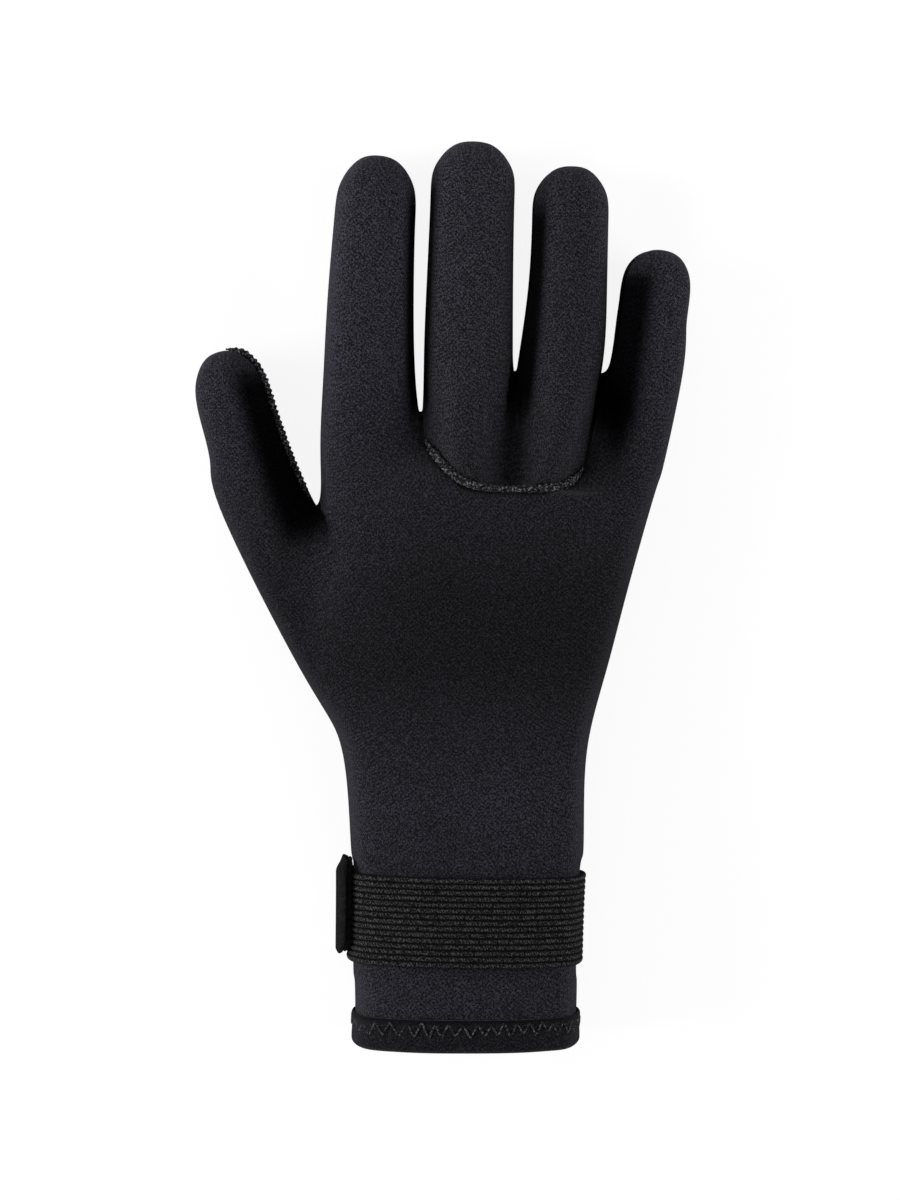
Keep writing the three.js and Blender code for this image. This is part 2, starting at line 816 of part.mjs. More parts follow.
// The wrist strap: a smooth inside, and ribs that run round its outside
function strapGeometry(rings) {
  const half = strapWidth / 2;
  const centre = strapDistance + half;
  const pitch = strapWidth / ribCount;
  const profile = [{ distance: centre + half, offset: gap + strapThickness - ribDepth }];
  for (let rib = 0; rib < ribCount; rib += 1) {
    const distance = centre + half - rib * pitch;
    profile.push({ distance: distance - pitch / 2, offset: gap + strapThickness });
    profile.push({ distance: distance - pitch, offset: gap + strapThickness - ribDepth });
  }
  profile.push({ distance: centre - half, offset: gap });
  profile.push({ distance: centre + half, offset: gap });
  return bandGeometry(rings, profile, strapSkew);
}

// The hem binding: folded over the cuff's edge from its outside to its inside
function hemGeometry(rings) {
  const top = cuffLength - hemHeight;
  const edge = cuffLength + gap;
  const inside = -wall - gap;
  const profile = [
    { distance: edge, offset: gap },
    { distance: edge, offset: inside },
    { distance: top, offset: inside },
    { distance: top, offset: inside - hemThickness },
    { distance: edge + hemRound, offset: inside - hemThickness },
    { distance: edge + hemThickness, offset: inside / 2 },
    { distance: edge + hemRound, offset: gap + hemThickness },
    { distance: top, offset: gap + hemThickness },
    { distance: top, offset: gap },
  ];
  return bandGeometry(rings, profile, 0);
}

// Sections of a fastening tab up its height: how much of its length each keeps, for its
// clipped corners
const tabSections = [
  { rise: 0, keep: 0.74 },
  { rise: 0.12, keep: 0.94 },
  { rise: 0.26, keep: 1 },
  { rise: 0.5, keep: 1 },
  { rise: 0.74, keep: 1 },
  { rise: 0.88, keep: 0.94 },
  { rise: 1, keep: 0.74 },
];

// One layer of the fastening on the thumb's side of the wrist, standing over the strap
function tabGeometry(rings, offset, thickness, share) {
  const middle = strapDistance + strapWidth / 2 - tabAhead;
  const half = (tabLength * share) / 2;
  const reach = tabReach * share;
  const low = tabRise + (tabReach - reach) / 2;
  const sections = tabSections.map((step) => {
    const z = low + step.rise * reach;
    const corner = (side, depth) => {
      const distance = middle + side * half * step.keep;
      const outline = cuffOutline(rings, distance, depth);
      const column = outline.findIndex((point, place) => {
        const next = outline[(place + 1) % outline.length];
        return point.x < 0 && point.z <= z && next.z > z;
      });
      const from = outline[column];
      const to = outline[(column + 1) % outline.length];
      return from.clone().lerp(to, (z - from.z) / (to.z - from.z));
    };
    return [corner(1, offset), corner(-1, offset), corner(-1, offset + thickness),
      corner(1, offset + thickness)];
  });
  return loftGeometry(sections);
}

function addMesh(parent, name, geometry, material) {
  const mesh = new THREE.Mesh(geometry, new THREE.MeshStandardMaterial(material));
  mesh.name = name;
  parent.add(mesh);
}

// The whole glove
function makeGlove() {
  const neoprene = { color: 0x24232a, roughness: 0.85, metalness: 0 };
  const insertCloth = { color: 0x26252b, roughness: 0.85, metalness: 0 };
  const thread = { color: 0x1b1b1e, roughness: 0.6, metalness: 0 };
  const elastic = { color: 0x1e1e20, roughness: 0.7, metalness: 0 };
  const loops = { color: 0x161618, roughness: 0.95, metalness: 0 };
  const skins = gloveSkins();
  const { marks } = skins.outer;
  const rings = cuffRings(skins.outer);
  const group = new THREE.Group();
  group.name = 'diving_glove';
  addMesh(group, 'back_panel', panelGeometry(skins, 'back_panel'), neoprene);
  addMesh(group, 'finger_insert', panelGeometry(skins, 'finger_insert'), insertCloth);
  addMesh(group, 'palm_panel', panelGeometry(skins, 'palm_panel'), neoprene);
  const knucklePanels = ['back_panel', 'finger_insert'];
  const knucklePath = seamPath(skins.outer, knucklePanels, marks.insertStart, marks.insertEnd);
  addMesh(group, 'knuckle_seam', seamGeometry(skins, knucklePath, knucklePanels), thread);
  const thumbPanels = ['palm_panel', 'back_panel'];
  const thumbPath = seamPath(skins.outer, thumbPanels, marks.thumbCrotch, marks.thumbTip);
  // The last two points in the crotch are left free of the seam
  addMesh(group, 'thumb_seam', seamGeometry(skins, thumbPath.slice(0, -2), thumbPanels), thread);
  addMesh(group, 'wrist_strap', strapGeometry(rings), elastic);
  addMesh(group, 'hem_binding', hemGeometry(rings), elastic);
  const patchOffset = 2 * gap + strapThickness;
  addMesh(group, 'loop_patch', tabGeometry(rings, patchOffset, patchThickness, patchShare),
    loops);
  const tabOffset = patchOffset + patchThickness + gap;
  addMesh(group, 'fastening_tab', tabGeometry(rings, tabOffset, tabThickness, 1), elastic);

  // The origin is on the surface it lies on, under the middle of the whole glove
  const box = new THREE.Box3().setFromObject(group);
  const middle = box.getCenter(new THREE.Vector3());
  group.position.set(-middle.x, -middle.y, -box.min.z);
  return group;
}

export default makeGlove();
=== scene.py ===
"""A right-hand diving glove of black neoprene, lying on its palm with its back up.

Sizes are in millimetres until a mesh is made. +Y runs to the fingertips and +X to the little
finger. The glove is a coarse net of four-sided faces from the tables below, swelled until its
smooth surface passes through the tables' points, rounded three times, given the thickness of the
neoprene and parted along its seams into the panels it is sewn from.
"""
from collections import namedtuple
import math
import bpy
import numpy as np
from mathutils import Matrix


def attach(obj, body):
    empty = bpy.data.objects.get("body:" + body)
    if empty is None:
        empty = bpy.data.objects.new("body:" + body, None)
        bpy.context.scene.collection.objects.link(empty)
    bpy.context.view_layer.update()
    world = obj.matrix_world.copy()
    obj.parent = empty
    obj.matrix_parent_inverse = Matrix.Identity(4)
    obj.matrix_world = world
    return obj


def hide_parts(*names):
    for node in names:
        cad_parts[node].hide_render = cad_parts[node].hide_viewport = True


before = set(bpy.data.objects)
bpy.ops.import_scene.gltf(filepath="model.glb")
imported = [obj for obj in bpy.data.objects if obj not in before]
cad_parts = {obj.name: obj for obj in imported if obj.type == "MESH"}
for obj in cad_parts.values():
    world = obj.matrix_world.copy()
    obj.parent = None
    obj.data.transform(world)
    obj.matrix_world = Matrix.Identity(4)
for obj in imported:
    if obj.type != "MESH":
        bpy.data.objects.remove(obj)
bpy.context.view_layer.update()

# ---- sizes of the glove

MILLIMETRE, CENTIMETRE = 0.001, 0.1
WALL, GAP = 3.0, 0.3
PALM_LENGTH, PALM_WIDTH, PALM_DEPTH = 103.0, 96.0, 33.0
WRIST_WIDTH, WRIST_DEPTH = 68.5, 38.5
CUFF_LENGTH, CUFF_WIDTH, CUFF_DEPTH = 69.5, 64.5, 40.0
FINGER_DEPTH, THUMB_DEPTH, DEPTH_TAPER = 24.5, 24.0, 0.86
STRAP_WIDTH, STRAP_THICKNESS, STRAP_DISTANCE, STRAP_SKEW = 25.4, 1.6, 21.1, 0.9
RIBS, RIB_DEPTH, RIB_STEPS = 15, 0.5, 8
TAB_LENGTH, TAB_REACH, TAB_RISE, TAB_AHEAD = 27.5, 23.0, 7.0, 3.4
PATCH_THICKNESS, TAB_THICKNESS, PATCH_SHARE = 1.2, 1.4, 0.96
# How far the tab bends in past the strap's upper edge, and over what length
TAB_DROP, TAB_DROP_LENGTH = 1.9, 4.2
HEM_HEIGHT, HEM_THICKNESS = 8.5, 0.8
# How round the hem's fold and its inner edges are, and how far it laps inside
HEM_ROLL, HEM_EDGE, HEM_LAP = 0.9, 0.3, 4.0
# How deep the surface flattens the underside, how high the strap lifts the cuff, and between
# which shares of the strap's distance the underside slopes up to it
SETTLE = 0.8
CUFF_LIFT = GAP + STRAP_THICKNESS
SLOPE_START, SLOPE_END = 0.3, 0.9
# Depth and reach of the groove along a seam, and how far the panels' rims are drawn in
GROOVE_DEPTH, GROOVE_REACH, SEAM_INSET = 0.55, 1.5, 0.12
# Beads: step along the seam, a stitch's length, swell and unevenness, a thinned end's length,
# lift and flatness in radii, and points round
BEAD_STEP, BEAD_STITCH, BEAD_SWELL, BEAD_UNEVEN = 0.35, 1.6, 0.16, 0.06
BEAD_END, BEAD_LIFT, BEAD_FLATNESS, BEAD_POINTS = 5.0, 0.4, 0.74, 14
# Zigzag thread: stitches round the hem, steps in each, points round it, its start below the
# hem's top, height and radius
ZIGZAG_STITCHES, ZIGZAG_STEPS, ZIGZAG_POINTS = 42, 20, 6
ZIGZAG_START, ZIGZAG_HEIGHT, ZIGZAG_RADIUS = 1.2, 3.4, 0.27
# Its middle off the cuff, how deep it dips at its turns, and its unevenness down and out
ZIGZAG_OFFSET, ZIGZAG_DIP, ZIGZAG_UNEVEN = 0.74, 0.3, (0.35, 0.12)
# From the glove's own frame, with the wrist at the origin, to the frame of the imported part
SHIFT = np.array([6.963, -60.095, 0.0])

# Sections of the cuff from its edge to the wrist: along, left, right, depth
CUFF_ROWS = np.array([
    [1.0, 0.497, 0.49, 1.0],
    [0.76, 0.5, 0.496, 1.0],
    [0.675, 0.507, 0.493, 0.985],
    [0.315, 0.505, 0.508, 0.975],
    [0.225, 0.516, 0.526, 0.965],
])
# Sections of the hand from the wrist to the knuckles: along, left, right, depth, crotch
PALM_ROWS = np.array([
    [0.174, 0.389, 0.373, 1.12, 0],
    [0.363, 0.504, 0.427, 1.06, 0],
    [0.56, 0.52, 0.483, 1.01, 0],
    [0.767, 0.453, 0.545, 0.96, 0.061],
    [0.885, 0.441, 0.583, 0.9, 0],
])
THUMB_START, THUMB_MIDDLE, THUMB_CROTCH = 7, 8, 9
# Nine columns over the hand's back and palm, and how far the last row dips at each
COLUMNS = np.array([0.035, 0.145, 0.29, 0.41, 0.545, 0.665, 0.78, 0.885, 0.965])
KNUCKLE_DIPS = np.array([0, 0, -0.015, 0.005, 0.027, 0.025, 0.04, 0.03, 0.02])
Digit = namedtuple("Digit", "across up lean bend length width taper knuckle roll left_drop "
                            "right_drop start left_flare right_flare")
DIGITS = {
    "index": Digit(-0.297, 1.009, -0.8, 6, 82.7, 28.7, 0.812, 0.8, 0, 18, 0, 0.22, 0, 0.01),
    "middle": Digit(0.0, 0.98, 1, 1.1, 89.7, 26.9, 0.909, 0.87, 0, 0, 0, 0.3, 0, 0.01),
    "ring": Digit(0.257, 0.952, 8, -8.3, 85.6, 24.8, 0.874, 0.86, 8, 0, 0, 0.349, 0.03, 0),
    "little": Digit(0.504, 0.954, 10, -4.6, 61.4, 22.6, 0.884, 0.76, 14, 0, 18, 0.43, 0, 0.054),
    "thumb": Digit(-0.54, 0.619, -19.8, 6.5, 68.8, 27.2, 0.75, 0, -12, 10, 0, 0.31, 0, 0.044),
}
FINGERS = ("index", "middle", "ring", "little")
AXIS_STEPS = 12
# Sections of a digit: along its free length, back from there in widths, and girth
DIGIT_SECTIONS = ((0, 0, 1.0), (0.35, 0, 1.0), (1, 0.7, 1.0), (1, 0.316, 0.945),
                  (1, 0.078, 0.579))
# Webs between the fingers: across, up, across and up at the middle, up below, top, bottom
WEBS = np.array([
    [-0.127, 1.005, -0.136, 1.065, 1.071, 0.68, 0.06],
    [0.135, 0.905, 0.149, 1.17, 1.142, 0.7, 0.06],
    [0.356, 0.93, 0.405, 1.159, 1.149, 0.7, 0.04],
])
# How far the hand's two sides reach past the outer knuckles' middles, in half finger widths
INDEX_REACH, LITTLE_REACH = 0.966, 0.833
# Depth at the knuckles, and at its two corners the reach and the heights of the back, the
# underside and the side
KNUCKLE_DEPTH, CORNER_REACH = 0.86, 0.8
CORNER_TOP, CORNER_LOW, CORNER_SIDE = 0.76, 0.08, 0.4
BACK_SQUARE, PALM_SQUARE, DIGIT_SQUARE, SIDE_SEAM = 2.4, 4.0, 2.15, 0.38
BACK, INSERT, PALM = 0, 1, 2
SIDE_RIGHT, SIDE_LEFT, RING = 9, 19, 20
# The cuff's own surface needs its sections, the wrist's and one of the hand
CUFF_NET_ROWS = len(CUFF_ROWS) + 2
# Rounds of the fit and of the smoothing
FIT_ROUNDS, SMOOTH_ROUNDS = 6, 3
# How far from a seam its distance is followed, in steps along edges, and what stands beyond
SEAM_WALK, SEAM_FAR = 14, 60.0


# ---- the net of the hand

def floor_at(y):
    """Height of the underside: 0 under the hand, the strap's lift under the cuff, and a slope."""
    start, end = -STRAP_DISTANCE * SLOPE_START, -STRAP_DISTANCE * SLOPE_END
    return CUFF_LIFT * np.clip((y - start) / (end - start), 0, 1)


def oval(height, squareness):
    """Half breadth of a squarish oval: (1 - |height|^n)^(1/n)."""
    return np.maximum(0, 1 - np.abs(height) ** squareness) ** (1 / squareness)


def hand_ring(y, left, right, depth, base, crotch=0.0, dips=0.0):
    """One section: columns over the back, a soft oval, a side, columns under it, a squarer oval,
    and a side."""
    reach = 2 * COLUMNS - 1
    x = (left + right) / 2 + (right - left) / 2 * reach
    ys = y - dips + 0 * x
    top = np.stack([x, ys, base + depth / 2 * (1 + oval(reach, BACK_SQUARE))], 1)
    low = np.stack([x, ys, base + depth / 2 * (1 - oval(reach, PALM_SQUARE))], 1)[::-1]
    side = base + depth * SIDE_SEAM
    return np.vstack([top, [[right, y, side]], low, [[left, y + crotch, side]]])


def digit_axis(digit, distance):
    """Centre and direction of a digit at a distance along its axis, whose lean grows evenly."""
    share = (np.arange(AXIS_STEPS) + 0.5) / AXIS_STEPS * distance / digit.length
    angles = np.radians(digit.lean + digit.bend * share)
    step = distance / AXIS_STEPS
    centre = np.array([digit.across * PALM_WIDTH + np.sin(angles).sum() * step,
                       digit.up * PALM_LENGTH + np.cos(angles).sum() * step])
    return centre, angles[-1]


def digit_ring(digit, depth, distance, girth, flared):
    """Eight points round a digit: a squarish oval of its tapered width and depth, rolled about
    its axis, with its two side points lowered to where its seams run. Where it leaves the hand,
    its sides are flared outwards."""
    centre, angle = digit_axis(digit, distance)
    share = distance / digit.length
    half_width = 0.5 * digit.width * girth * (1 + (digit.taper - 1) * share)
    full_depth = depth * (1 + (DEPTH_TAPER - 1) * share)
    turn = np.radians([135, 90, 45, -digit.right_drop, -45, -90, -135, 180 + digit.left_drop])
    reach = (np.abs(np.cos(turn)) ** DIGIT_SQUARE + np.abs(np.sin(turn)) ** DIGIT_SQUARE) ** (
        -1 / DIGIT_SQUARE)
    left, right = digit.left_flare, digit.right_flare
    flare = np.array([0, 0, 0, right, right, 0, -left, -left]) * digit.width * flared
    across = half_width * reach * np.cos(turn) + flare
    up = 0.5 * full_depth * girth * reach * np.sin(turn)
    turned = math.radians(digit.roll)
    rolled = across * math.cos(turned) + up * math.sin(turned)
    risen = up * math.cos(turned) - across * math.sin(turned)
    return np.stack([centre[0] + math.cos(angle) * rolled, centre[1] - math.sin(angle) * rolled,
                     full_depth / 2 - SETTLE + risen], 1)


class Net:
    """Points and four-sided faces, each face with its panel. A three-sided face repeats its last
    corner."""

    def __init__(self):
        self.points, self.faces, self.panels = np.zeros((0, 3)), [], []

    def add(self, points):
        """Adds points and returns their places."""
        start = len(self.points)
        self.points = np.vstack([self.points, points])
        return np.arange(start, len(self.points))

    def face(self, panel, *corners):
        """Adds one face of three or four corners."""
        self.faces.append(np.array([list(corners) + [corners[-1]] * (4 - len(corners))]))
        self.panels.append(np.array([panel]))

    def join(self, near, far, panels, keep=None):
        """Adds the faces between two rings, all or those to keep."""
        quads = np.stack([near, np.roll(near, -1), np.roll(far, -1), far], 1)
        keep = np.ones(len(near), bool) if keep is None else keep
        self.faces.append(quads[keep])
        self.panels.append(panels[keep])


def add_digit(net, name, base, top_panel):
    """A digit of five sections from its base ring to a closed tip of four faces."""
    digit = DIGITS[name]
    depth = THUMB_DEPTH if name == "thumb" else FINGER_DEPTH
    panels = np.array([top_panel] * 3 + [PALM] * 4 + [top_panel])
    ring, seam = base, [base[3]]
    for along, back, girth in DIGIT_SECTIONS:
        distance = (digit.start + (1 - digit.start) * along) * digit.length - back * digit.width
        following = net.add(digit_ring(digit, depth, distance, girth, along == 0))
        net.join(ring, following, panels)
        ring = following
        seam.append(ring[3])
    centre, _ = digit_axis(digit, digit.length)
    tip = net.add([[centre[0], centre[1], depth * DEPTH_TAPER / 2 - SETTLE]])[0]
    net.face(top_panel, ring[0], ring[1], tip, ring[7])
    net.face(top_panel, ring[1], ring[2], ring[3], tip)
    net.face(PALM, tip, ring[3], ring[4], ring[5])
    net.face(PALM, ring[7], tip, ring[5], ring[6])
    return seam + [tip]


def under(column):
    """The place on the underside below a column of the back."""
    return RING - 2 - column


def knuckle_points():
    """The ring where the hand divides into four fingers, and the middles of its three webs."""
    ring = np.zeros((RING, 3))
    depth = PALM_DEPTH * KNUCKLE_DEPTH
    fingers = [DIGITS[name] for name in FINGERS]
    x, y, heights = (np.array([(finger.across, finger.up, finger.knuckle) for finger in fingers])
                     * (PALM_WIDTH, PALM_LENGTH, PALM_DEPTH)).T
    ring[1:8:2] = np.stack([x, y, heights], 1)
    ring[under(np.arange(1, 8, 2))] = np.stack([x, y, 0 * x - SETTLE], 1)
    across, up, mid_across, mid_up, up_below, top, bottom = WEBS.T
    mid_x = mid_across * PALM_WIDTH
    ring[2:7:2] = np.stack([across * PALM_WIDTH, up * PALM_LENGTH, top * depth], 1)
    ring[under(np.arange(2, 7, 2))] = np.stack(
        [mid_x, up_below * PALM_LENGTH, bottom * depth], 1)
    middles = np.stack([mid_x, mid_up * PALM_LENGTH, (top + bottom) / 2 * depth], 1)
    for finger, reach, column, side in ((0, -INDEX_REACH, 0, SIDE_LEFT),
                                        (3, LITTLE_REACH, 8, SIDE_RIGHT)):
        half = reach * fingers[finger].width / 2
        corner = x[finger] + half * CORNER_REACH
        ring[column] = corner, y[finger], depth * CORNER_TOP
        ring[under(column)] = corner, y[finger], depth * CORNER_LOW
        ring[side] = x[finger] + half, y[finger], depth * CORNER_SIDE
    return ring, middles


def renumbered(faces):
    """The points that faces use, and the faces numbered within those."""
    used, places = np.unique(faces, return_inverse=True)
    return used, places.reshape(-1, 4)


def glove_net():
    """The whole coarse net, with the two seam paths and the cuff's rows of points."""
    net = Net()
    rows = []
    for along, left, right, depth in CUFF_ROWS:
        y = -along * CUFF_LENGTH
        rows.append(net.add(hand_ring(y, -left * CUFF_WIDTH, right * CUFF_WIDTH,
                                      depth * CUFF_DEPTH, floor_at(y) - SETTLE)))
    rows.append(net.add(hand_ring(0, -WRIST_WIDTH / 2, WRIST_WIDTH / 2, WRIST_DEPTH, -SETTLE)))
    for place, (along, left, right, depth, crotch) in enumerate(PALM_ROWS):
        dips = KNUCKLE_DIPS * PALM_LENGTH if place == len(PALM_ROWS) - 1 else 0.0
        rows.append(net.add(hand_ring(
            along * PALM_LENGTH, -left * PALM_WIDTH, right * PALM_WIDTH, depth * PALM_DEPTH,
            -SETTLE, crotch * PALM_LENGTH, dips)))
    place = np.arange(RING)
    side = np.where((place < SIDE_RIGHT) | (place == SIDE_LEFT), BACK, PALM)
    for row in range(len(rows) - 1):
        beside_thumb = row in (THUMB_START, THUMB_MIDDLE)
        net.join(rows[row], rows[row + 1], side, ~(beside_thumb & (place >= SIDE_LEFT - 1)))
    last = rows[-1]
    ring, middles = knuckle_points()
    knuckles, webs = net.add(ring), net.add(middles)
    net.join(last, knuckles, np.where((place > 2) & (place < 6), INSERT, side),
             (place != 2) & (place != 5))
    net.face(BACK, last[2], last[3], knuckles[2])
    net.face(INSERT, last[3], knuckles[3], knuckles[2])
    net.face(BACK, last[5], last[6], knuckles[6])
    net.face(INSERT, last[5], knuckles[6], knuckles[5])
    lefts, rights = [knuckles[SIDE_LEFT], *webs], [*webs, knuckles[SIDE_RIGHT]]
    for finger, name in enumerate(FINGERS):
        first = 2 * finger
        base = [*knuckles[first:first + 3], rights[finger], *knuckles[under(first + 2):
                under(first) + 1], lefts[finger]]
        add_digit(net, name, np.array(base), INSERT if finger in (1, 2) else BACK)
    low, middle, high = rows[THUMB_START], rows[THUMB_MIDDLE], rows[THUMB_CROTCH]
    base = [low[0], middle[0], high[0], high[SIDE_LEFT], high[under(0)], middle[under(0)],
            low[under(0)], low[SIDE_LEFT]]
    thumb_path = add_digit(net, "thumb", np.array(base), BACK)
    knuckle_path = [knuckles[2], last[3], last[4], last[5], knuckles[6]]
    used, faces = renumbered(np.vstack(net.faces))
    place_of = np.zeros(len(net.points), int)
    place_of[used] = np.arange(len(used))
    paths = [place_of[np.array(path)] for path in (knuckle_path, thumb_path)]
    return (net.points[used], faces, np.concatenate(net.panels), paths,
            place_of[np.array(rows[:CUFF_NET_ROWS])])


# ---- smooth surfaces

def sum_at(places, values, count):
    """Sum of the values that fall on each place."""
    total = np.zeros((count, values.shape[1]))
    np.add.at(total, places, values)
    return total


def neighbour_sum(points, ends):
    """At each point, the sum of the points at the other ends of its edges."""
    near, far = ends.T
    return sum_at(near, points[far], len(points)) + sum_at(far, points[near], len(points))


def walked(faces):
    """Each corner of the faces in turn, and the corner after it."""
    return faces.ravel(), np.roll(faces, -1, 1).ravel()


def edge_key(near, far, count):
    """One number for each edge, whichever way it is walked."""
    return np.minimum(near, far) * count + np.maximum(near, far)


def net_edges(points, here, after):
    """The different edges of a net: their keys, ends, which edge starts at each corner, and how
    many faces use each."""
    keys, edge, uses = np.unique(edge_key(here, after, len(points)), return_inverse=True,
                                 return_counts=True)
    return keys, np.stack([keys // len(points), keys % len(points)], 1), edge.ravel(), uses


def rounded(points, faces, panels, paths):
    """One round of smooth subdivision of a net: a point in the middle of each face, one for each
    edge, the mean of its ends and faces, and each old point drawn to its neighbours. A path of
    points gets the new point of each of its edges."""
    three = faces[:, 2] == faces[:, 3]
    real = np.ones(faces.shape, bool)
    real[three, 3] = False
    after = np.roll(faces, -1, 1)
    before = np.roll(faces, 1, 1)
    after[three, 2] = faces[three, 0]
    before[three, 0] = faces[three, 2]
    of = np.repeat(np.arange(len(faces)), 4).reshape(-1, 4)[real]
    here, after, before = faces[real], after[real], before[real]
    count, many = len(points), len(faces)
    centres = sum_at(of, points[here], many) / np.bincount(of)[:, None]
    keys, ends, edge, uses = net_edges(points, here, after)
    middle = points[ends].mean(1)
    rim = uses == 1
    edge_points = (2 * middle + sum_at(edge, centres[of], len(keys))) / 4
    edge_points[rim] = middle[rim]
    valence = np.bincount(ends.ravel(), minlength=count)[:, None]
    middles = (sum_at(ends[:, 0], middle, count) + sum_at(ends[:, 1], middle, count)) / valence
    around = sum_at(here, centres[of], count) / np.bincount(here, minlength=count)[:, None]
    moved = (points * (valence - 3) + 2 * middles + around) / valence
    on_rim = np.bincount(ends[rim].ravel(), minlength=count) == 2
    moved[on_rim] = (6 * points + neighbour_sum(points, ends[rim]))[on_rim] / 8
    back = np.searchsorted(keys, edge_key(here, before, count))
    quads = np.stack([here, count + many + edge, count + of, count + many + back], 1)
    finer = []
    for path in paths:
        longer = np.repeat(path, 2)[:-1]
        longer[1::2] = count + many + np.searchsorted(keys, edge_key(path[:-1], path[1:], count))
        finer.append(longer)
    return np.vstack([moved, centres, edge_points]), quads, panels[of], finer


def resting_places(points, faces, count):
    """Where the first points of a net end up after endless rounds: the mean of the point, its
    neighbours along edges and its neighbours across faces, weighted n*n, 4 and 1."""
    here, after = walked(faces)
    across = np.roll(faces, 2, 1).ravel()
    _, ends, _, uses = net_edges(points, here, after)
    total = len(points)
    corners = sum_at(here, points[across], total)
    n = np.bincount(ends.ravel(), minlength=total)[:, None]
    place = (n * n * points + 4 * neighbour_sum(points, ends) + corners) / (n * (n + 5))
    rims = ends[uses == 1]
    on_rim = np.bincount(rims.ravel(), minlength=total) == 2
    place[on_rim] = (4 * points + neighbour_sum(points, rims))[on_rim] / 6
    return place[:count]


def fitted(points, faces, panels):
    """The net swelled, round by round, until its smooth surface passes through its points."""
    wanted = points
    for _ in range(FIT_ROUNDS):
        finer, quads, _, _ = rounded(points, faces, panels, [])
        points = points + wanted - resting_places(finer, quads, len(points))
    return points


def unit(vectors):
    """Each vector over its length."""
    return vectors / np.linalg.norm(vectors, axis=-1, keepdims=True)


def outward(points, faces):
    """Outward direction at each point: the mean of its faces' diagonal cross products."""
    a, b, c, d = points[faces].transpose(1, 0, 2)
    normal = np.cross(c - a, d - b)
    return unit(sum_at(faces.ravel(), np.repeat(normal, 4, axis=0), len(points)))


def seam_distance(points, faces, panels):
    """Distance of each point from the nearest seam between two panels, walked along edges."""
    here, after = walked(faces)
    _, ends, edge, _ = net_edges(points, here, after)
    panel = np.repeat(panels, 4)
    most = np.zeros(len(ends), int)
    least = np.full(len(ends), PALM)
    np.maximum.at(most, edge, panel)
    np.minimum.at(least, edge, panel)
    seams = ends[most != least]
    far = np.full(len(points), SEAM_FAR)
    far[seams.ravel()] = 0
    start, end = ends.T
    length = np.linalg.norm(points[start] - points[end], axis=1)
    for _ in range(SEAM_WALK):
        np.minimum.at(far, start, far[end] + length)
        np.minimum.at(far, end, far[start] + length)
    return far


skin, quads, panels, paths, cuff_places = glove_net()
skin = fitted(skin, quads, panels)
cuff_net = skin[cuff_places]
for _ in range(SMOOTH_ROUNDS):
    skin, quads, panels, paths = rounded(skin, quads, panels, paths)
knuckle_path, thumb_path = paths
skin[:, 2] = np.maximum(skin[:, 2], floor_at(skin[:, 1]))
normals = outward(skin, quads)
from_seam = seam_distance(skin, quads, panels)


# ---- painted light and shade in the cloth's colour

# Soft patches of painted highlight and painted shade in the cloth's colour: across, up, half
# breadth, half height, lift of the tone
PAINTED_LIGHT_PATCHES = np.array([
    [-37, 66, 14, 16, 0.35],
    [14, 2, 16, 22, 0.25],
    [8, 50, 34, 26, -0.12],
    [43, 106, 5, 14, -0.9],
    [31, 156, 12, 40, -0.2],
])
# Painted light and shade up the hand, from the hem to the fingertips: darker over the flat back
# of the hand, where less light falls, and brighter on the cuff and toward the fingertips: up, tone
PAINTED_LIGHT_LEVELS = np.array([[-70, 1.15], [-52, 1.15], [-18, 1.0], [0, 1.05], [35, 0.6], [60, 0.6],
                        [92, 1.0], [120, 1.42], [150, 1.65], [190, 1.75]])
HEM_TONE = 0.55
# Painted shade on the flanks of the digits that lie in their own shade: from and to in half
# widths across, how much darker, and whether the flank is the right one
PAINTED_SHADE_FLANKS = {
    "thumb": (-0.2, 0.48, 0.93, 1), "index": (0.68, 0.9, 0.95, 1), "middle": (0.7, 0.92, 0.93, -1),
    "ring": (0.45, 0.74, 0.94, -1), "little": (-0.3, 0.42, 0.94, -1),
}
# Over which shares of a digit's length the painted shade on its flank comes and goes, and how
# far it reaches from the axis, in half widths
FLANK_COMES, FLANK_GOES, FLANK_REACH = (0.0, 0.2), (0.8, 1.0), 1.25
FLANK_STEPS = 40


def smooth_step(value, low, high):
    """0 below low, 1 above high, and 3 t^2 - 2 t^3 between."""
    t = np.clip((value - low) / (high - low), 0, 1)
    return t * t * (3 - 2 * t)


def painted_light_and_shade():
    """Painted light and shade in the cloth's colour at each point of the skin: its level up the
    hand, soft round patches of painted highlight and shade, and painted shade on the flanks."""
    x, y = skin[:, :1], skin[:, 1:2]
    tone_and_painted_light = np.interp(y[:, 0], *PAINTED_LIGHT_LEVELS.T)
    across, up, half_across, half_up, lift = PAINTED_LIGHT_PATCHES.T
    away = ((x - across) / half_across) ** 2 + ((y - up) / half_up) ** 2
    tone_and_painted_light *= 1 + (lift * np.exp(-away)).sum(1)
    for name, (start, end, darker, toward) in PAINTED_SHADE_FLANKS.items():
        digit = DIGITS[name]
        steps = np.linspace(0, digit.length, FLANK_STEPS)
        line = np.array([digit_axis(digit, step)[0] for step in steps])
        apart = np.linalg.norm(skin[:, None, :2] - line, axis=2)
        near = apart.argmin(1)
        ahead = unit(np.gradient(line, axis=0)[near])
        off = skin[:, :2] - line[near]
        beside = toward * (off[:, 0] * ahead[:, 1] - off[:, 1] * ahead[:, 0])
        share = steps[near] / digit.length
        half = 0.5 * digit.width * (1 + (digit.taper - 1) * share)
        flank = smooth_step(beside / half, start, end) * smooth_step(share, *FLANK_COMES)
        flank *= 1 - smooth_step(share, *FLANK_GOES)
        flank *= apart.min(1) < FLANK_REACH * half
        tone_and_painted_light *= 1 - darker * flank
    return tone_and_painted_light


painted_light_tones = painted_light_and_shade()


# ---- meshes

def in_scene(name, data):
    """A new object with its data, at the origin, in the scene."""
    thing = bpy.data.objects.new(name, data)
    bpy.context.scene.collection.objects.link(thing)
    return thing


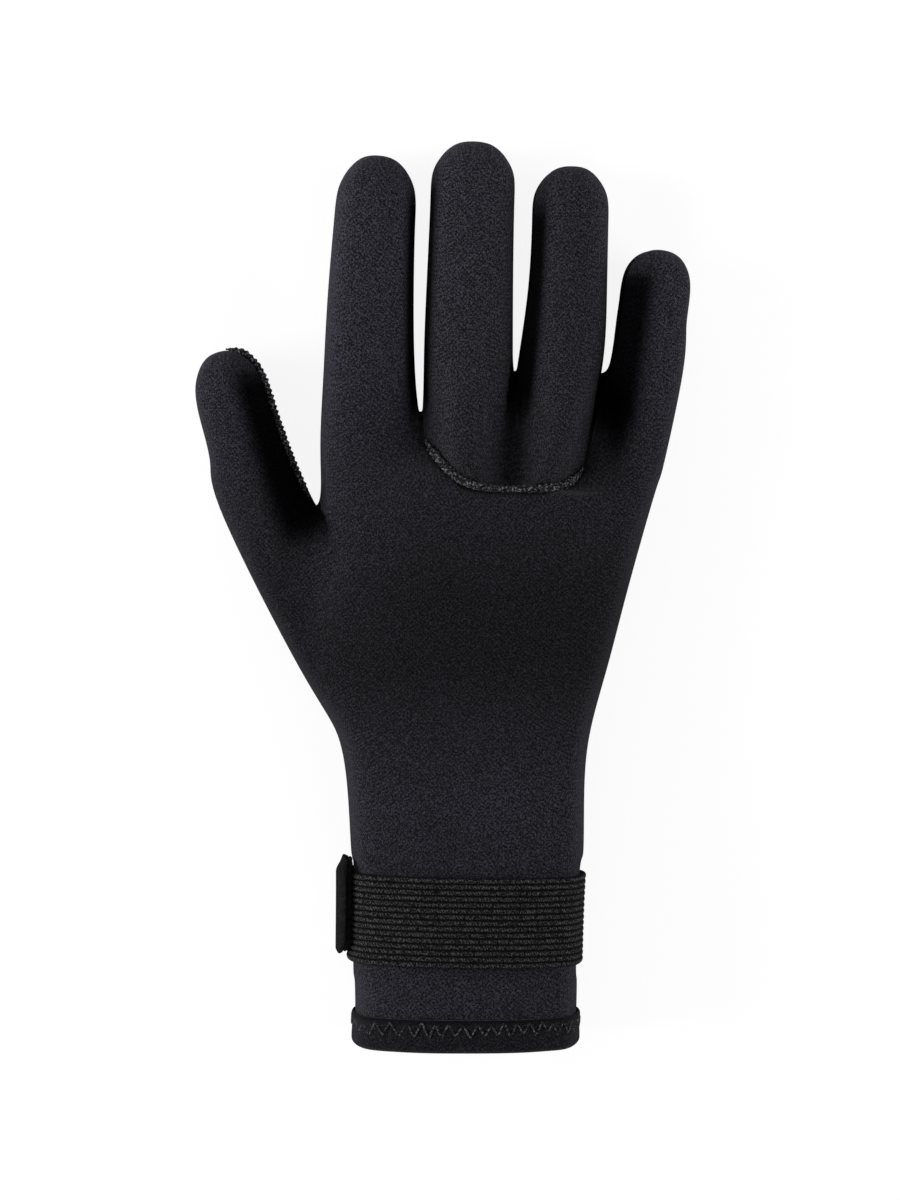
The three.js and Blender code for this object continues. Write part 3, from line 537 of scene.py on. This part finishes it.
def make_piece(name, points, faces, material, node=None, uv=None, triangles=None,
               values=None):
    """A smooth mesh object in metres from points in the glove's own frame, with a map of two
    lengths in centimetres and named values on its points. It takes the place of a node of the
    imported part, if one is given."""
    corners = faces.ravel()
    starts = np.arange(len(faces)) * 4
    if triangles is not None:
        starts = np.concatenate([starts, len(corners) + np.arange(len(triangles)) * 3])
        corners = np.concatenate([corners, triangles.ravel()])
    mesh = bpy.data.meshes.new(name)
    mesh.vertices.add(len(points))
    mesh.vertices.foreach_set("co", ((points + SHIFT) * MILLIMETRE).ravel())
    mesh.loops.add(len(corners))
    mesh.loops.foreach_set("vertex_index", corners.astype(np.int32))
    mesh.polygons.add(len(starts))
    mesh.polygons.foreach_set("loop_start", starts.astype(np.int32))
    mesh.polygons.foreach_set("use_smooth", np.ones(len(starts), bool))
    if uv is not None:
        mesh.uv_layers.new(name="lengths").data.foreach_set("uv", uv.ravel())
    mesh.update(calc_edges=True)
    for key, numbers in (values or {}).items():
        mesh.attributes.new(key, "FLOAT", "POINT").data.foreach_set("value", numbers)
    mesh.materials.append(material)
    piece = in_scene(name, mesh)
    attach(piece, "root")
    if node:
        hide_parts(node)


def panel_piece(name, panel, material, node):
    """One panel: its share of the outer skin and of the inner skin a wall below it, closed by a
    rim, which is drawn in and down a little so that a seam shows as a fine groove."""
    used, faces = renumbered(quads[panels == panel])
    here, after = walked(faces)
    count = len(used)
    _, _, edge, uses = net_edges(skin[used], here, after)
    on_rim = uses[edge] == 1
    start, end = here[on_rim], after[on_rim]
    outer, up, far = skin[used].copy(), normals[used], from_seam[used]
    a, b, c, d = outer[faces[np.flatnonzero(on_rim) // 4]].transpose(1, 0, 2)
    inset = unit(np.cross(np.cross(c - a, d - b), outer[end] - outer[start]))
    inset = unit(sum_at(np.concatenate([start, end]), np.vstack([inset, inset]), count)[start])
    inner = outer - WALL * up
    inner[:, 2] = np.maximum(inner[:, 2], floor_at(outer[:, 1]) + WALL)
    outer -= up * (GROOVE_DEPTH * np.exp(-(far / GROOVE_REACH) ** 2))[:, None]
    outer[:, 2] = np.maximum(outer[:, 2], floor_at(outer[:, 1]))
    outer[start] += SEAM_INSET * inset
    inner[start] += SEAM_INSET * inset
    rim = np.stack([start, start + count, end + count, end], 1)
    everything = np.vstack([faces, faces[:, ::-1] + count, rim])
    make_piece(name, np.vstack([outer, inner]), everything, material, node,
               values={"seam": np.tile(far, 2), "tone_and_painted_light": np.tile(painted_light_tones[used], 2)})


def grid_faces(places):
    """The faces between neighbours in a grid of places."""
    return np.stack([places[:-1, :-1], places[:-1, 1:], places[1:, 1:], places[1:, :-1]],
                    2).reshape(-1, 4)


def bar_faces(rows, size, closed_rows=False):
    """Faces of a grid of rows whose points close round each row."""
    places = np.arange(rows * size).reshape(rows, size)
    places = np.hstack([places, places[:, :1]])
    return grid_faces(np.vstack([places, places[:1]]) if closed_rows else places)


def running(lengths):
    """How far each point is along a path, from the lengths between the points."""
    return np.append(0, np.cumsum(lengths))


def grid_map(along, around):
    """Map of a grid of rows, in centimetres along the rows and round them, for each corner."""
    near, far = np.repeat(along[:-1], len(around)), np.repeat(along[1:], len(around))
    this, following = around, around + around[1] - around[0]
    turned = np.stack([this, following, following, this], 1)
    return np.stack([np.stack([near, near, far, far], 1),
                     np.tile(turned, (len(along) - 1, 1))], 2) * CENTIMETRE


# ---- the cuff and what goes round it

def weights(t):
    """The four weights of a cubic spline at a share t between two points."""
    return np.stack([(1 - t) ** 3, 3 * t ** 3 - 6 * t ** 2 + 4,
                     -3 * t ** 3 + 3 * t ** 2 + 3 * t + 1, t ** 3], -1) / 6


def cuff_surface(u, v):
    """The smooth cuff at places u up its rows and v round them, a cubic spline both ways."""
    grid = np.concatenate([2 * cuff_net[:1] - cuff_net[1:2], cuff_net])
    i, j = np.floor(u).astype(int), np.floor(v).astype(int)
    rows = i[..., None] + np.arange(4)
    columns = (j[..., None] + np.arange(-1, 3)) % RING
    near = grid[rows[..., :, None], columns[..., None, :]]
    return np.einsum("...r,...c,...rcx->...x", weights(u - i), weights(v - j), near)


ROW_STEPS = np.linspace(0, CUFF_NET_ROWS - 2.001, 600)
ROW_LEVELS = cuff_surface(ROW_STEPS, 0 * ROW_STEPS)[:, 1]


def cuff_band(distance, offset, around, skew=0.0):
    """Points round the cuff at a distance below the wrist and an offset from it. skew lowers the
    little finger's side by that much over the cuff's width."""
    distance, offset, v = np.broadcast_arrays(distance, offset, around)

    def outline(v):
        y = -distance
        for _ in range(3):
            u = np.interp(y, ROW_LEVELS, ROW_STEPS)
            place = cuff_surface(u, v)
            y = -distance - skew * place[..., 0] / CUFF_WIDTH
        place[..., 1] = y
        place[..., 2] = np.maximum(place[..., 2], floor_at(y))
        return place

    place, step = outline(v), 0.06
    along = outline(v + step) - outline(v - step)
    out = unit(np.stack([-along[..., 2], 0 * along[..., 0], along[..., 0]], -1))
    return place + out * offset[..., None]


def band_piece(name, profile, material, node, skew=0.0, around=360):
    """A closed band round the cuff: a profile of distances and offsets, carried round it with
    the values of its points."""
    distance, offset, values = profile
    v = np.arange(around) * RING / around
    points = cuff_band(distance[:, None], offset[:, None], v[None, :], skew)
    faces = bar_faces(len(distance), around, closed_rows=True)
    girth = np.linalg.norm(points[0] - np.roll(points[0], 1, 0), axis=1).sum()
    reach = running(np.hypot(np.diff(distance), np.diff(offset)))
    reach = np.append(reach, reach[-1] + 1)
    uv = grid_map(reach, np.arange(around) * girth / around)
    make_piece(name, points.reshape(-1, 3), faces, material, node, uv,
               values={key: np.repeat(each, around) for key, each in values.items()})


def strap_profile():
    """Outside: fifteen round ribs, each the square root of a half sine. Inside flat. The last
    value is how deep in a groove a point is."""
    share = np.linspace(0, 1, RIBS * RIB_STEPS + 1)
    ribs = np.sqrt(np.abs(np.sin(np.pi * RIBS * share)))
    distance = STRAP_DISTANCE + STRAP_WIDTH * (1 - share)
    offset = GAP + STRAP_THICKNESS - RIB_DEPTH * (1 - ribs)
    inner = STRAP_DISTANCE + STRAP_WIDTH * np.linspace(0, 1, 5)
    return (np.concatenate([distance, inner]), np.concatenate([offset, 0 * inner + GAP]),
            {"groove": np.concatenate([1 - ribs, 0 * inner])})


# Outside of the hem: below its top, off the cuff, and the seam's distance at its top
HEM_STEPS = np.array([[0, 0.05], [0.15, 0.45], [0.6, 0.72], [1.2, 0.8], [3, 0.62], [5, 0.66],
                      [6.5, 0.78]])
# The seam's distance at the hem's top is so small that the crease there is painted black as shade
HEM_SEAM = 0.7


def hem_profile():
    """Outside, from the crease down: a tucked top, a flat sewn part, a soft roll round the edge
    and back up the inside."""
    edge, top = CUFF_LENGTH + GAP, CUFF_LENGTH - HEM_HEIGHT
    inside, lap = -WALL - GAP, -WALL - GAP - HEM_THICKNESS
    turn = np.radians(np.linspace(0, 180, 15))
    middle, half = (GAP + inside) / 2, (GAP - inside) / 2 + HEM_THICKNESS
    roll = edge - HEM_ROLL + (HEM_THICKNESS + HEM_ROLL) * np.sin(turn)
    bend = np.stack([roll, middle + half * np.cos(turn)], 1)
    back = np.array([(top + HEM_LAP, lap), (top, lap), (top, inside), (edge - HEM_EDGE, inside),
                     (edge, inside + HEM_EDGE), (edge, GAP - HEM_EDGE), (edge - HEM_EDGE, GAP)])
    distance, offset = np.vstack([HEM_STEPS + [top, GAP], bend, back])[::-1].T
    below = np.abs(distance - top)
    return distance, offset, {"seam": HEM_SEAM + below, "tone_and_painted_light": 0 * below + HEM_TONE}


def ovals(path, side, up, size):
    """Points of an oval across each point of a path, whose two half axes are given there."""
    turn = (np.arange(size) / size * 2 * np.pi)[:, None]
    rows = path[:, None] + side[:, None] * np.cos(turn) + up[:, None] * np.sin(turn)
    return rows.reshape(-1, 3)


def tube(path, side, up, size):
    """A tube of ovals along a path, closed at each end by a fan."""
    count = len(path) * size
    points = np.vstack([ovals(path, side, up, size), path[:1], path[-1:]])
    near = np.arange(size)
    far, last = (near + 1) % size, count - size
    fans = np.vstack([np.stack([far, near, 0 * near + count], 1),
                      np.stack([near + last, far + last, 0 * near + count + 1], 1)])
    return points, bar_faces(len(path), size), fans


def resampled(values, steps, count):
    """Rows of values at even steps along their running length."""
    even = np.linspace(0, steps[-1], count)
    return np.stack([np.interp(even, steps, values[:, k]) for k in range(values.shape[1])], 1)


# ---- materials

# Scales of the patterns, in lumps or rows to a metre, and how far the knit's rows sway, in metres
SWAY_SCALE, COURSES, CROSS_COURSES = 260, 470, 520
GRAIN_SCALE, FIBRE_SCALE, PATCH_SCALE = 2100, 3600, 38
FLECK_SCALE, STRAND_SCALE = 1500, 3000
KNIT_SWAY = 0.0012
# Distances from a seam where its painted shade, black down in the groove, ends and where the
# cloth's own colour is full
SEAM_SHADE_END, SEAM_CLEAR = 1.0, 2.5
# The neoprene's shine and sheen, and the tone from which up they are full; below it they are
# dimmed with the tone and its painted shade
NEOPRENE_SHINE, NEOPRENE_SHEEN, FULL_TONE = 0.15, 0.22, 0.7
# Threads wound round the ribs: their turn in radians to a centimetre round the strap and along
# its profile, and how far they sway
WINDING_ROUND, WINDING_ALONG, WINDING_SWAY = 75.0, 42.0, 7.0
SHEEN_TINT = (0.6, 0.6, 0.65, 1)


def linear(red, green, blue):
    """A screen colour of 0 to 255 as the light values that a shader takes."""
    shares = np.array([red, green, blue]) / 255
    light = np.where(shares > 0.04045, ((shares + 0.055) / 1.055) ** 2.4, shares / 12.92)
    return (*light, 1.0)


def set_inputs(tree, node, inputs):
    """Gives a node its inputs, by name or place: a socket is linked, another value is set."""
    for label, value in inputs.items():
        if isinstance(value, bpy.types.NodeSocket):
            tree.links.new(value, node.inputs[label])
        else:
            node.inputs[label].default_value = value


def add_node(tree, kind, inputs, **settings):
    """The outputs of a new node with its settings and inputs."""
    node = tree.nodes.new(kind)
    for name, value in settings.items():
        setattr(node, name, value)
    set_inputs(tree, node, inputs)
    return node.outputs


def math_node(tree, operation, *values, clamp=False):
    """One or two numbers put through an operation."""
    return add_node(tree, "ShaderNodeMath", dict(enumerate(values)), operation=operation,
                    use_clamp=clamp)[0]


def times(tree, first, second):
    """The product of two numbers."""
    return math_node(tree, "MULTIPLY", first, second)


def plus(tree, first, second):
    """The sum of two numbers."""
    return math_node(tree, "ADD", first, second)


def vector_node(tree, operation, first, second):
    """Two vectors put through an operation."""
    return add_node(tree, "ShaderNodeVectorMath", {0: first, 1: second}, operation=operation)[0]


def scaled(tree, colour, share):
    """A colour times a share."""
    return add_node(tree, "ShaderNodeVectorMath", {0: colour, "Scale": share},
                    operation="SCALE")["Vector"]


def mixed(tree, share, first, second):
    """Two colours mixed by a share."""
    return add_node(tree, "ShaderNodeMix", {"Factor": share, "A": first, "B": second},
                    data_type="RGBA")["Result"]


def stretch(tree, value, low, high, floor=0.0, top=1.0):
    """The value between low and high, stretched to run from floor to top."""
    return add_node(tree, "ShaderNodeMapRange", {
        "Value": value, "From Min": low, "From Max": high, "To Min": floor,
        "To Max": top})["Result"]


def noise(tree, place, scale, detail=2.0, roughness=0.5, output="Fac"):
    """Noise with so many lumps to a metre, as a number, or as a Color of three noises."""
    return add_node(tree, "ShaderNodeTexNoise", {
        "Vector": place, "Scale": scale, "Detail": detail, "Roughness": roughness})[output]


def courses(tree, place, scale):
    """Even slanting rows, from 0 to 1."""
    return add_node(tree, "ShaderNodeTexWave", {"Vector": place, "Scale": scale},
                    bands_direction="DIAGONAL")["Fac"]


def bump(tree, height, strength, distance):
    """The surface's direction, tilted by a height."""
    return add_node(tree, "ShaderNodeBump", {
        "Height": height, "Strength": strength, "Distance": distance})["Normal"]


def value_of(tree, name):
    """A number that a mesh carries on its points."""
    return add_node(tree, "ShaderNodeAttribute", {}, attribute_name=name)["Fac"]


def new_material(name, specular, sheen, sheen_roughness=0.4):
    """A material with its node tree, the place on the object and its shader."""
    material = bpy.data.materials.new(name)
    material.use_nodes = True
    tree = material.node_tree
    shader = tree.nodes["Principled BSDF"]
    set_inputs(tree, shader, {"Specular IOR Level": specular, "Sheen Weight": sheen,
                              "Sheen Roughness": sheen_roughness, "Sheen Tint": SHEEN_TINT})
    return material, tree, add_node(tree, "ShaderNodeTexCoord", {})["Object"], shader


def knit_group():
    """Fine knit face: two sets of slanting rows that cross, bent a little by noise, broken into
    single loops by a fine grain. It puts out a speckle for the colour, a height for the bump and
    slow patches."""
    group = bpy.data.node_groups.new("knit face", "ShaderNodeTree")
    group.interface.new_socket(name="Place", in_out="INPUT", socket_type="NodeSocketVector")
    for label in ("Speckle", "Height", "Patch"):
        group.interface.new_socket(name=label, in_out="OUTPUT", socket_type="NodeSocketFloat")
    place = group.nodes.new("NodeGroupInput").outputs["Place"]
    sway = scaled(group, noise(group, place, SWAY_SCALE, output="Color"), KNIT_SWAY)
    bent = vector_node(group, "ADD", place, sway)
    mirrored = vector_node(group, "MULTIPLY", bent, (-1, 1, 1))
    rows = times(group, courses(group, bent, COURSES), courses(group, mirrored, CROSS_COURSES))
    grain = noise(group, place, GRAIN_SCALE, 2, 0.6)
    fibres = noise(group, place, FIBRE_SCALE)
    speckle = times(group, stretch(group, grain, 0.45, 0.61),
                    stretch(group, fibres, 0.36, 0.6, 0.2))
    lit = plus(group, speckle, times(group, rows, 0.3))
    set_inputs(group, group.nodes.new("NodeGroupOutput"), {
        "Speckle": math_node(group, "MULTIPLY", lit, 0.85, clamp=True),
        "Height": plus(group, grain, times(group, rows, 0.4)),
        "Patch": noise(group, place, PATCH_SCALE)})
    return group


KNIT = knit_group()


def neoprene_material(name, dark, light, speck):
    """Knit-faced neoprene: a dark ground with a brighter speckle and slow patches, times the tone
    with the painted light and shade that its mesh carries, with painted shade black down in its
    seams, and its shine and sheen dimmed with the painted shade."""
    material, tree, place, shader = new_material(name, NEOPRENE_SHINE, NEOPRENE_SHEEN, 0.5)
    knit = add_node(tree, "ShaderNodeGroup", {"Place": place}, node_tree=KNIT)
    ground = mixed(tree, stretch(tree, knit["Patch"], 0.35, 0.68), dark, light)
    # The tone that the mesh carries holds painted light and shade: it brightens and darkens the
    # colour and dims the shine and sheen
    tone_and_painted_light = value_of(tree, "tone_and_painted_light")
    toned = scaled(tree, mixed(tree, knit["Speckle"], ground, speck), tone_and_painted_light)
    # Painted shade: the colour goes black near a seam, down in its groove
    groove = stretch(tree, value_of(tree, "seam"), SEAM_SHADE_END, SEAM_CLEAR)
    set_inputs(tree, shader, {
        "Base Color": mixed(tree, groove, linear(4, 4, 5), toned),
        "Roughness": stretch(tree, knit["Speckle"], 0, 1, 0.92, 0.75),
        "Specular IOR Level": stretch(tree, tone_and_painted_light, 0, FULL_TONE, 0, NEOPRENE_SHINE),
        "Sheen Weight": stretch(tree, tone_and_painted_light, 0, FULL_TONE, 0, NEOPRENE_SHEEN),
        "Normal": bump(tree, knit["Height"], 0.7, 0.0003)})
    return material


def thread_material(name, dark, pale, share):
    """Sewn bead: dark threads, a share of them paler where they come up through the loops."""
    material, tree, place, shader = new_material(name, 0.3, 0.15)
    flecks = noise(tree, place, FLECK_SCALE, 2, 0.6)
    strands = noise(tree, place, STRAND_SCALE, 2, 0.6)
    pales = times(tree, stretch(tree, flecks, 0.62 - share, 0.72 - share),
                  stretch(tree, strands, 0.42, 0.56))
    set_inputs(tree, shader, {
        "Base Color": mixed(tree, pales, dark, pale),
        "Roughness": stretch(tree, strands, 0.3, 0.7, 0.85, 0.55),
        "Normal": bump(tree, plus(tree, flecks, strands), 0.8, 0.0004)})
    return material


def elastic_material(name, dark, pale):
    """Ribbed elastic: threads wound round each rib on the slant, broken by single fibres, their
    pale colour on the rib tops partly thread and partly painted highlight, and painted shade black
    down in the grooves, whose depth the mesh carries."""
    material, tree, place, shader = new_material(name, 0.12, 0.05)
    lengths = add_node(tree, "ShaderNodeUVMap", {}, uv_map="lengths")["UV"]
    split = add_node(tree, "ShaderNodeSeparateXYZ", {0: lengths})
    sway = times(tree, noise(tree, place, 500), WINDING_SWAY)
    slant = plus(tree, times(tree, split["Y"], WINDING_ROUND),
                 times(tree, split["X"], WINDING_ALONG))
    wound = stretch(tree, math_node(tree, "SINE", plus(tree, slant, sway)), -1, 1, 0.25, 1.0)
    fibres = noise(tree, place, 2000, 3, 0.65)
    share = times(tree, wound, stretch(tree, fibres, 0.44, 0.62))
    # Painted shade and highlight: the pale threads fade to black down in the grooves, so only the
    # rib tops look lit
    lit_rib_tops = stretch(tree, value_of(tree, "groove"), 0.02, 0.5, 1.0, 0.0)
    height = plus(tree, times(tree, wound, 0.6), fibres)
    set_inputs(tree, shader, {
        "Base Color": mixed(tree, times(tree, share, lit_rib_tops), dark, pale),
        "Roughness": stretch(tree, fibres, 0.3, 0.7, 0.85, 0.6),
        "Normal": bump(tree, height, 0.7, 0.0003)})
    return material


def loop_material(name):
    """Fuzzy loop cloth: a tangle of short pale fibres over black."""
    material, tree, place, shader = new_material(name, 0.15, 0.2)
    tangle = noise(tree, place, 1800, 4, 0.7)
    set_inputs(tree, shader, {
        "Base Color": mixed(tree, stretch(tree, tangle, 0.52, 0.75), linear(6, 6, 7),
                            linear(60, 60, 63)),
        "Roughness": stretch(tree, tangle, 0.3, 0.7, 0.98, 0.85),
        "Normal": bump(tree, tangle, 1.0, 0.0006)})
    return material


hand_neoprene = neoprene_material(
    "hand_neoprene", linear(6, 6, 9), linear(11, 10, 14), linear(77, 75, 87))
insert_neoprene = neoprene_material(
    "insert_neoprene", linear(7, 7, 9), linear(11, 11, 14), linear(74, 73, 83))
bead_thread = thread_material("bead_thread", linear(12, 12, 15), linear(160, 160, 168), 0.09)
zigzag_thread = thread_material("zigzag_thread", linear(16, 16, 20), linear(128, 127, 138), 0.13)
ribbed_elastic = elastic_material("ribbed_elastic", linear(3, 3, 4), linear(112, 112, 113))
tab_elastic = elastic_material("tab_elastic", linear(3, 3, 4), linear(40, 40, 42))
loop_cloth = loop_material("loop_cloth")

# ---- the pieces

panel_piece("back_neoprene", BACK, hand_neoprene, "back_panel")
panel_piece("finger_insert_neoprene", INSERT, insert_neoprene, "finger_insert")
panel_piece("palm_neoprene", PALM, hand_neoprene, "palm_panel")

band_piece("ribbed_strap", strap_profile(), ribbed_elastic, "wrist_strap", STRAP_SKEW)
band_piece("folded_hem", hem_profile(), hand_neoprene, "hem_binding")


def bead_piece(name, path, node, cuts, rounds, radius, higher, seed):
    """A sewn bead along a seam, or a little higher on the skin than it: an oval tube half sunk in
    the groove, its radius rising and falling with the stitches, thinned out at its ends. cuts
    says how much of the seam it leaves free at each end, and rounds how often it is smoothed."""
    place, up = skin[path], normals[path]
    steps = running(np.linalg.norm(np.diff(place, axis=0), axis=1))
    length = steps[-1]
    s = np.linspace(0, length, int(length / BEAD_STEP))
    kept = (s >= cuts[0]) & (s <= length - cuts[1])
    place, up = (resampled(each, steps, len(s))[kept] for each in (place, up))
    s = s[kept] - cuts[0]
    for each in [place, up] * rounds:
        each[1:-1] = (each[:-2] + 2 * each[1:-1] + each[2:]) / 4
    up = unit(up)
    side = unit(np.cross(np.gradient(place, axis=0), up))
    ends = np.clip(np.minimum(s, s[-1] - s) / BEAD_END, 0.15, 1) ** 0.6
    lumps = np.random.default_rng(seed).normal(0, BEAD_UNEVEN, len(s))
    swell = BEAD_SWELL * np.sin(2 * np.pi * s / BEAD_STITCH)
    size = (radius * ends * (1 + swell + lumps))[:, None]
    middle = place + side * np.sign(side[:, 2:]) * higher + up * BEAD_LIFT * size
    points, faces, fans = tube(middle, side * size, up * BEAD_FLATNESS * size, BEAD_POINTS)
    make_piece(name, points, faces, bead_thread, node, triangles=fans)


bead_piece("knuckle_bead", knuckle_path, "knuckle_seam", cuts=(0.5, 0.5), rounds=160, radius=1.15,
           higher=0, seed=3)
bead_piece("thumb_bead", thumb_path, "thumb_seam", cuts=(3.0, 2.0), rounds=24, radius=1.2,
           higher=1.9, seed=5)


def zigzag_piece():
    """A thread sewn in zigzags round the hem, under its crease: its distance down is a triangle
    wave of the way round, it dips into the cloth at each turn, and each turn is a little off."""
    way = np.arange(ZIGZAG_STITCHES * ZIGZAG_STEPS) / ZIGZAG_STEPS
    wave = np.abs(2 * (way % 1) - 1)
    turns = np.arange(2 * ZIGZAG_STITCHES + 1)
    jitter = np.random.default_rng(11).normal(0, 1, (2, len(turns)))
    jitter[:, -1] = jitter[:, 0]
    down, out = (uneven * np.interp(2 * way, turns, row)
                 for uneven, row in zip(ZIGZAG_UNEVEN, jitter))
    distance = CUFF_LENGTH - HEM_HEIGHT + ZIGZAG_START + ZIGZAG_HEIGHT * wave + down
    offset = GAP + ZIGZAG_OFFSET - ZIGZAG_DIP * (2 * wave - 1) ** 12 + out
    v = way / ZIGZAG_STITCHES * RING
    place = cuff_band(distance, offset, v)
    up = cuff_band(distance, offset + 1, v) - place
    side = unit(np.cross(np.roll(place, -1, 0) - np.roll(place, 1, 0), up))
    points = ovals(place, ZIGZAG_RADIUS * side, ZIGZAG_RADIUS * up, ZIGZAG_POINTS)
    make_piece("hem_zigzag", points, bar_faces(len(place), ZIGZAG_POINTS, True), zigzag_thread)


zigzag_piece()

# Clipped corners of the tab: how far up it, and the share of its length there
TAB_CORNERS = np.array([[0, 0.74], [0.12, 0.94], [0.26, 1], [0.74, 1], [0.88, 0.94], [1, 0.74]])
# Its rows and points in a row, and how much of it is rounded off at its edges, in shares of its
# half size and of its thickness
TAB_ROWS, TAB_POINTS, TAB_ROUND, TAB_ROUND_DEPTH = 25, 31, 0.08, 0.35


def tab_piece(name, node, offset, thickness, share, material):
    """A layer of the fastening on the thumb's side: a plate over the strap with clipped corners,
    its edges rounded, which follows the cuff's outline up its height and bends in to the glove
    past the strap's upper edge."""
    rise = np.linspace(0, 1, TAB_ROWS)[:, None]
    across = np.linspace(-1, 1, TAB_POINTS)
    middle = STRAP_DISTANCE + STRAP_WIDTH / 2 - TAB_AHEAD
    distance = middle - across * (TAB_LENGTH * share / 2) * np.interp(rise, *TAB_CORNERS.T)
    height = TAB_RISE + TAB_REACH * (0.5 + share * (rise - 0.5))
    v = np.linspace(SIDE_LEFT - 2.5, SIDE_LEFT + 3, 200)
    v_at = np.interp(height, cuff_band(middle, 0.0, v)[:, 2], v)
    from_edge = np.minimum(1 - np.abs(across), 1 - np.abs(2 * rise - 1))
    edge = np.minimum(1, from_edge / TAB_ROUND)
    round_off = thickness * TAB_ROUND_DEPTH * (1 - np.sqrt(1 - (1 - edge) ** 2))
    base = offset - TAB_DROP * smooth_step(STRAP_DISTANCE - distance, 0.0, TAB_DROP_LENGTH)
    low = cuff_band(distance, base + round_off, v_at)
    high = cuff_band(distance, base + thickness - round_off, v_at)
    total = TAB_ROWS * TAB_POINTS
    number = np.arange(total).reshape(TAB_ROWS, TAB_POINTS)
    cells = grid_faces(number)
    loop = np.concatenate([number[0, :-1], number[:-1, -1], number[-1, :0:-1], number[:0:-1, 0]])
    following = np.roll(loop, -1)
    rim = np.stack([following, following + total, loop + total, loop], 1)
    make_piece(name, np.stack([low, high]).reshape(-1, 3),
               np.vstack([cells[:, ::-1], cells + total, rim]), material, node)


patch_offset = 2 * GAP + STRAP_THICKNESS
tab_piece("loop_layer", "loop_patch", patch_offset, PATCH_THICKNESS, PATCH_SHARE, loop_cloth)
tab_piece("tab_layer", "fastening_tab", patch_offset + PATCH_THICKNESS + GAP, TAB_THICKNESS, 1,
          tab_elastic)


# ---- floor, light and camera

# Soft lights: turn and rise in degrees, and power
LIGHTS = {
    "left_light": (180, 20, 13),
    "right_light": (0, 20, 9),
    "tip_light": (100, 30, 3),
    "cuff_light": (270, 25, 3),
}
LIGHT_SIZE, LIGHT_DISTANCE, FLOOR_REACH = 0.8, 1.4, 6.0
# How bright the floor is, what the camera sees of its glow, and what the world gives to the
# camera and casts
FLOOR_TONE, FLOOR_GLOW, WORLD_SEEN, WORLD_CAST = 0.3, 0.88, 1.0, 0.05
CAMERA_PLACE, LENS, SENSOR = (0.00227, -0.00303, 0.9), 91.7, 36


def seen_and_cast(tree, seen, cast, kind):
    """A plain white glow that the camera sees at one strength and the light rays meet at
    another."""
    to_camera = add_node(tree, "ShaderNodeLightPath", {})["Is Camera Ray"]
    return add_node(tree, kind, {"Color": (1, 1, 1, 1),
                                 "Strength": stretch(tree, to_camera, 0, 1, cast, seen)})[0]


def make_floor():
    """A wide pale floor at the height of the surface it lies on. The camera sees it white, with
    a faint shadow, and it throws little light back under the glove."""
    corners = [(-1, -1), (1, -1), (1, 1), (-1, 1)]
    mesh = bpy.data.meshes.new("floor")
    mesh.from_pydata([(x * FLOOR_REACH, y * FLOOR_REACH, 0) for x, y in corners], [],
                     [(0, 1, 2, 3)])
    material, tree, _, shader = new_material("pale_floor", 0.1, 0.0)
    set_inputs(tree, shader, {"Base Color": (FLOOR_TONE, FLOOR_TONE, FLOOR_TONE, 1),
                              "Roughness": 0.9})
    glow = seen_and_cast(tree, FLOOR_GLOW, 0.0, "ShaderNodeEmission")
    both = add_node(tree, "ShaderNodeAddShader", {0: shader.outputs[0], 1: glow})[0]
    set_inputs(tree, tree.nodes["Material Output"], {"Surface": both})
    mesh.materials.append(material)
    in_scene("floor", mesh)


def soft_light(name, turn, rise, power):
    """A square soft light at a turn and a rise in degrees, facing the glove."""
    light = bpy.data.lights.new(name, "AREA")
    light.shape, light.size, light.energy = "SQUARE", LIGHT_SIZE, power
    lamp = in_scene(name, light)
    turn, rise = math.radians(turn), math.radians(rise)
    lamp.location = LIGHT_DISTANCE * np.array([
        math.cos(rise) * math.cos(turn), math.cos(rise) * math.sin(turn), math.sin(rise)])
    lamp.rotation_euler = (math.pi / 2 - rise, 0, turn + math.pi / 2)


def make_stage():
    """The floor, the lights, the world and the camera, which looks straight down."""
    make_floor()
    for name, light in LIGHTS.items():
        soft_light(name, *light)
    world = bpy.data.worlds.new("studio")
    world.use_nodes = True
    glow = seen_and_cast(world.node_tree, WORLD_SEEN, WORLD_CAST, "ShaderNodeBackground")
    set_inputs(world.node_tree, world.node_tree.nodes["World Output"], {"Surface": glow})
    scene = bpy.context.scene
    scene.world = world
    scene.view_settings.view_transform = "Standard"
    lens = bpy.data.cameras.new("camera")
    lens.sensor_width, lens.lens = SENSOR, LENS
    scene.camera = in_scene("camera", lens)
    scene.camera.location = CAMERA_PLACE


make_stage()
